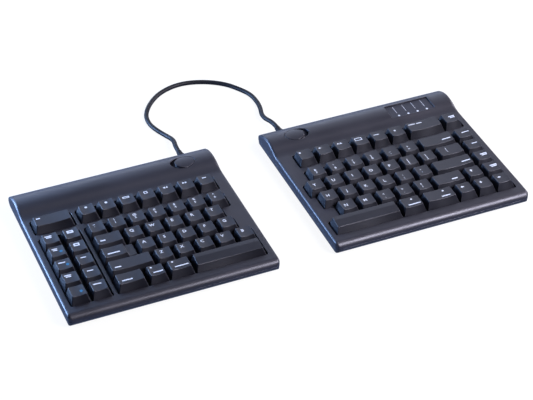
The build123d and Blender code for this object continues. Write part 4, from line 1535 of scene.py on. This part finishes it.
class KEYBOARD_OT_add_cable(bpy.types.Operator):
    """Lays the link cable from one module to the other, with a flexible sleeve at each end"""

    bl_idname = "keyboard.add_cable"
    bl_label = "Link cable"

    def execute(self, context):
        settings = context.scene.keyboard_cable
        for side in MODULES:
            node, name = side + "_cable_grommet", side + "_cable_sleeve"
            low, high = box_of(node)
            sleeve = sleeve_shell((low.x + high.x) / 2, Module(side).rear, CABLE_EXIT_Z)
            rubber = moulded(side + "_sleeve_rubber", settings.colour, SLEEVE_ROUGHNESS, SLEEVE_FINISH)
            add_piece(name, sleeve.mesh(name), rubber, side + "_module", (node,))
        line = cable_line()
        jacket = moulded("cable_jacket", settings.colour, JACKET_ROUGHNESS, JACKET_FINISH)
        mesh = tube_mesh(line, settings.diameter / MM / 2)
        mesh.materials.append(jacket)
        cable = add_object("cable", mesh)
        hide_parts("link_cable")
        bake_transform(cable)
        return {"FINISHED"}


class KEYBOARD_OT_add_cases(bpy.types.Operator):
    """Moulds the top and bottom case of each module, with every opening, window seat and hole"""

    bl_idname = "keyboard.add_cases"
    bl_label = "Cases"

    def execute(self, context):
        settings = context.scene.keyboard_case
        for side in MODULES:
            module = Module(side)
            holes = [Hole(opening_rim(names), LIP_ROUND) for names in OPENINGS[side]]
            holes.append(oval_hole(module))
            if side == "right":
                holes.append(window_hole())
            roof = case_half(module, 1, settings.edge_round / MM, holes, lambda y: module.top(y)[0] - WALL)
            self.add_half(settings, side, "top", roof, "upper_case")
            pockets = [self.pocket(low, high) for low, high in key_boxes(side + "_case_screws")]
            rear_holes = self.rear_holes() if side == "right" else ()
            tray = case_half(module, -1, settings.foot_round / MM, pockets, lambda y: FLOOR_Z, rear_holes)
            self.add_half(settings, side, "bottom", tray, "lower_case")
        return {"FINISHED"}

    def add_half(self, settings, side, end, shell, slot):
        """Adds one half of a case in its own plastic."""
        name = side + "_" + end + "_shell"
        plastic = moulded(name + "_plastic", settings.colour, settings.gloss, CASE_FINISH)
        add_piece(name, shell.mesh(name), plastic, side + "_module", (side + "_" + end + "_case",))

    def pocket(self, low, high):
        """The counterbore round one screw head."""
        middle = (low + high) / 2
        rim = oval_rim(middle.x, middle.y, POCKET_RADIUS, POCKET_RADIUS)[::2]
        return Hole(rim, POCKET_LIP, POCKET_FLOOR_Z)

    def rear_holes(self):
        """The charge socket's opening and the power switch's slot in the rear wall."""
        holes = []
        for node, travel in (("charge_socket", 0), ("power_switch", SWITCH_TRAVEL)):
            low, high = box_of(node)
            holes.append((low.x - REAR_GAP, high.x + travel + REAR_GAP, low.z - REAR_GAP, high.z + REAR_GAP))
        return holes


class KEYBOARD_OT_add_caps(bpy.types.Operator):
    """Sculpts every keycap and prints its marks"""

    bl_idname = "keyboard.add_caps"
    bl_label = "Keycaps"

    def execute(self, context):
        settings = context.scene.keyboard_caps
        white, blue = printed("white_print", settings.white), printed("blue_print", settings.blue)
        plastic = moulded("keycap_plastic", settings.colour, settings.gloss, CAP_FINISH)
        # Painted sheen on the tops and painted shade on the flanks of the caps
        painted_sheen_and_shade(plastic)
        for node in sorted(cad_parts):
            if not node.endswith(KEY_ENDINGS):
                continue
            shell = Shell()
            caps = caps_of(node, settings.edge_round / MM)
            for cap in caps:
                cap.build(shell)
            name = node + "_caps"
            add_piece(name, shell.mesh(name), plastic, node, (node,))
            for ending, marks, ink in (("_marks", white_marks, white), ("_blue_marks", blue_marks, blue)):
                groups = marks(node, caps)
                if groups:
                    print_marks(node + ending, groups, ink, node)
        return {"FINISHED"}


class KEYBOARD_OT_add_hump_pieces(bpy.types.Operator):
    """Adds the oval caps and the indicator window on the humps"""

    bl_idname = "keyboard.add_hump_pieces"
    bl_label = "Oval caps and window"

    def execute(self, context):
        case, ink = context.scene.keyboard_case, context.scene.keyboard_caps
        for side in MODULES:
            name, node = side + "_oval_plug", side + "_oval_cap"
            plastic = moulded(name + "_plastic", case.colour, case.gloss, PLUG_FINISH)
            mesh = oval_cap_shell(Module(side)).mesh(name)
            add_piece(name, mesh, plastic, side + "_module", (node,))
        low, high = box_of("indicator_window")
        plate = Shell()
        add_slab(plate, low, high, WINDOW_CORNER_RADIUS, PLATE_ROUND, PLATE_STEPS)
        smoky = moulded("window_plastic", WINDOW_COLOUR, WINDOW_ROUGHNESS, WINDOW_FINISH)
        mesh = plate.mesh("window_plate")
        add_piece("window_plate", mesh, smoky, "right_module", ("indicator_window",))
        white = printed("window_print", ink.white)
        add_piece("window_marks", self.marks(low, high), white, "right_module")
        return {"FINISHED"}

    def marks(self, low, high):
        """A thin line for each lamp, with a small plain mark at its front end."""
        parts = []
        for i in range(LAMP_COUNT):
            x = (low.x + high.x) / 2 + (i - (LAMP_COUNT - 1) / 2) * LAMP_PITCH
            parts.append((bar_mark(*LAMP_LINE), x + LAMP_LINE_X, high.y - LAMP_LINE_FROM_REAR))
            parts.append((dot_mark(LAMP_DOT), x + LAMP_DOT_X, low.y + LAMP_DOT_FROM_FRONT))
        points, faces = joined(*parts)
        mesh = bpy.data.meshes.new("window_marks")
        mesh.from_pydata([(point + Z_UP * (high.z + PRINT_LIFT)) * MM for point in points], [], faces)
        return mesh


class KEYBOARD_OT_finish_hardware(bpy.types.Operator):
    """Rounds the feet and gives the screws, plates, boards and other inner pieces their finish"""

    bl_idname = "keyboard.finish_hardware"
    bl_label = "Feet and inner pieces"

    def execute(self, context):
        for side in MODULES:
            node, name = side + "_feet", side + "_pads"
            pads = Shell()
            for low, high in key_boxes(node):
                add_slab(pads, low, high, PAD_CORNER_RADIUS, PAD_ROUND, EDGE_STEPS, up=-1)
            rubber = moulded(side + "_pad_rubber", PAD_COLOUR, PAD_ROUGHNESS, PAD_FINISH)
            add_piece(name, pads.mesh(name), rubber, side + "_module", (node,))
        for ending, (colour, roughness, metallic, grain) in HARDWARE.items():
            finish = (grain, HARDWARE_RELIEF, HARDWARE_SPECULAR, HARDWARE_DRIFT)
            coat = moulded(ending + "_finish", colour, roughness, finish, metallic)
            for node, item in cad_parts.items():
                if node.endswith(ending):
                    self.coat(item, coat)
        return {"FINISHED"}

    def coat(self, item, material):
        if not item.material_slots:
            raise RuntimeError(item.name + " has no material slot")
        for slot in item.material_slots:
            slot.material = material


class KEYBOARD_OT_add_studio(bpy.types.Operator):
    """Sets up the pale floor, the room light and the soft lamps"""

    bl_idname = "keyboard.add_studio"
    bl_label = "Studio"

    def execute(self, context):
        scene = context.scene
        scene.view_settings.view_transform = "Standard"
        mesh = bpy.data.meshes.new("floor")
        corners = box_corners(-FLOOR_HALF, FLOOR_HALF, -FLOOR_HALF, FLOOR_HALF)
        mesh.from_pydata([(*corner, 0) for corner in corners], [], [(0, 1, 2, 3)])
        mesh.materials.append(studio_white("floor_white"))
        floor = add_object("floor", mesh)
        self.light_room(scene)
        for lamp in LAMPS:
            self.add_lamp(*lamp)
        return {"FINISHED"}

    def light_room(self, scene):
        """An even pale light from all round."""
        world = bpy.data.worlds.new("room")
        tree = empty_tree(world)
        light = {"Color": (*ROOM_COLOUR, 1), "Strength": scene.keyboard_studio.world_light}
        even = add_node(tree, "ShaderNodeBackground", light)
        add_node(tree, "ShaderNodeOutputWorld", links={"Surface": even.outputs["Background"]})
        scene.world = world

    def add_lamp(self, name, place, aim, size, power, colour):
        light = bpy.data.lights.new(name, "AREA")
        light.shape = "RECTANGLE"
        light.size, light.size_y = size
        light.energy = power
        light.color = colour
        lamp = add_object(name, light)
        lamp.location = place
        lamp.rotation_euler = (Vector(aim) - Vector(place)).to_track_quat("-Z", "Y").to_euler()


OPERATORS = (
    KEYBOARD_OT_add_camera,
    KEYBOARD_OT_add_cable,
    KEYBOARD_OT_add_cases,
    KEYBOARD_OT_add_caps,
    KEYBOARD_OT_add_hump_pieces,
    KEYBOARD_OT_finish_hardware,
    KEYBOARD_OT_add_studio,
)


class KEYBOARD_PT_pieces(bpy.types.Panel):
    """Lists the settings and the steps that build the keyboard"""

    bl_idname = "KEYBOARD_PT_pieces"
    bl_label = "Split keyboard"
    bl_space_type = "VIEW_3D"
    bl_region_type = "UI"
    bl_category = "Keyboard"

    def draw(self, context):
        for name in SETTINGS:
            settings = getattr(context.scene, name)
            box = self.layout.box()
            for field in settings.__annotations__:
                box.prop(settings, field)
        for operator in OPERATORS:
            self.layout.operator(operator.bl_idname)


SETTINGS = {
    "keyboard_case": CaseSettings,
    "keyboard_caps": CapSettings,
    "keyboard_cable": CableSettings,
    "keyboard_studio": StudioSettings,
}


def register():
    for group in SETTINGS.values():
        bpy.utils.register_class(group)
    for item in (*OPERATORS, KEYBOARD_PT_pieces):
        bpy.utils.register_class(item)
    for name, group in SETTINGS.items():
        setattr(bpy.types.Scene, name, bpy.props.PointerProperty(type=group))


def unregister():
    for name in SETTINGS:
        delattr(bpy.types.Scene, name)
    for item in (KEYBOARD_PT_pieces, *reversed(OPERATORS)):
        bpy.utils.unregister_class(item)
    for group in reversed(list(SETTINGS.values())):
        bpy.utils.unregister_class(group)


def main():
    register()
    bpy.ops.keyboard.add_camera()
    bpy.ops.keyboard.add_cable()
    bpy.ops.keyboard.add_cases()
    bpy.ops.keyboard.add_caps()
    bpy.ops.keyboard.add_hump_pieces()
    bpy.ops.keyboard.finish_hardware()
    bpy.ops.keyboard.add_studio()


if __name__ == "__main__":
    main()
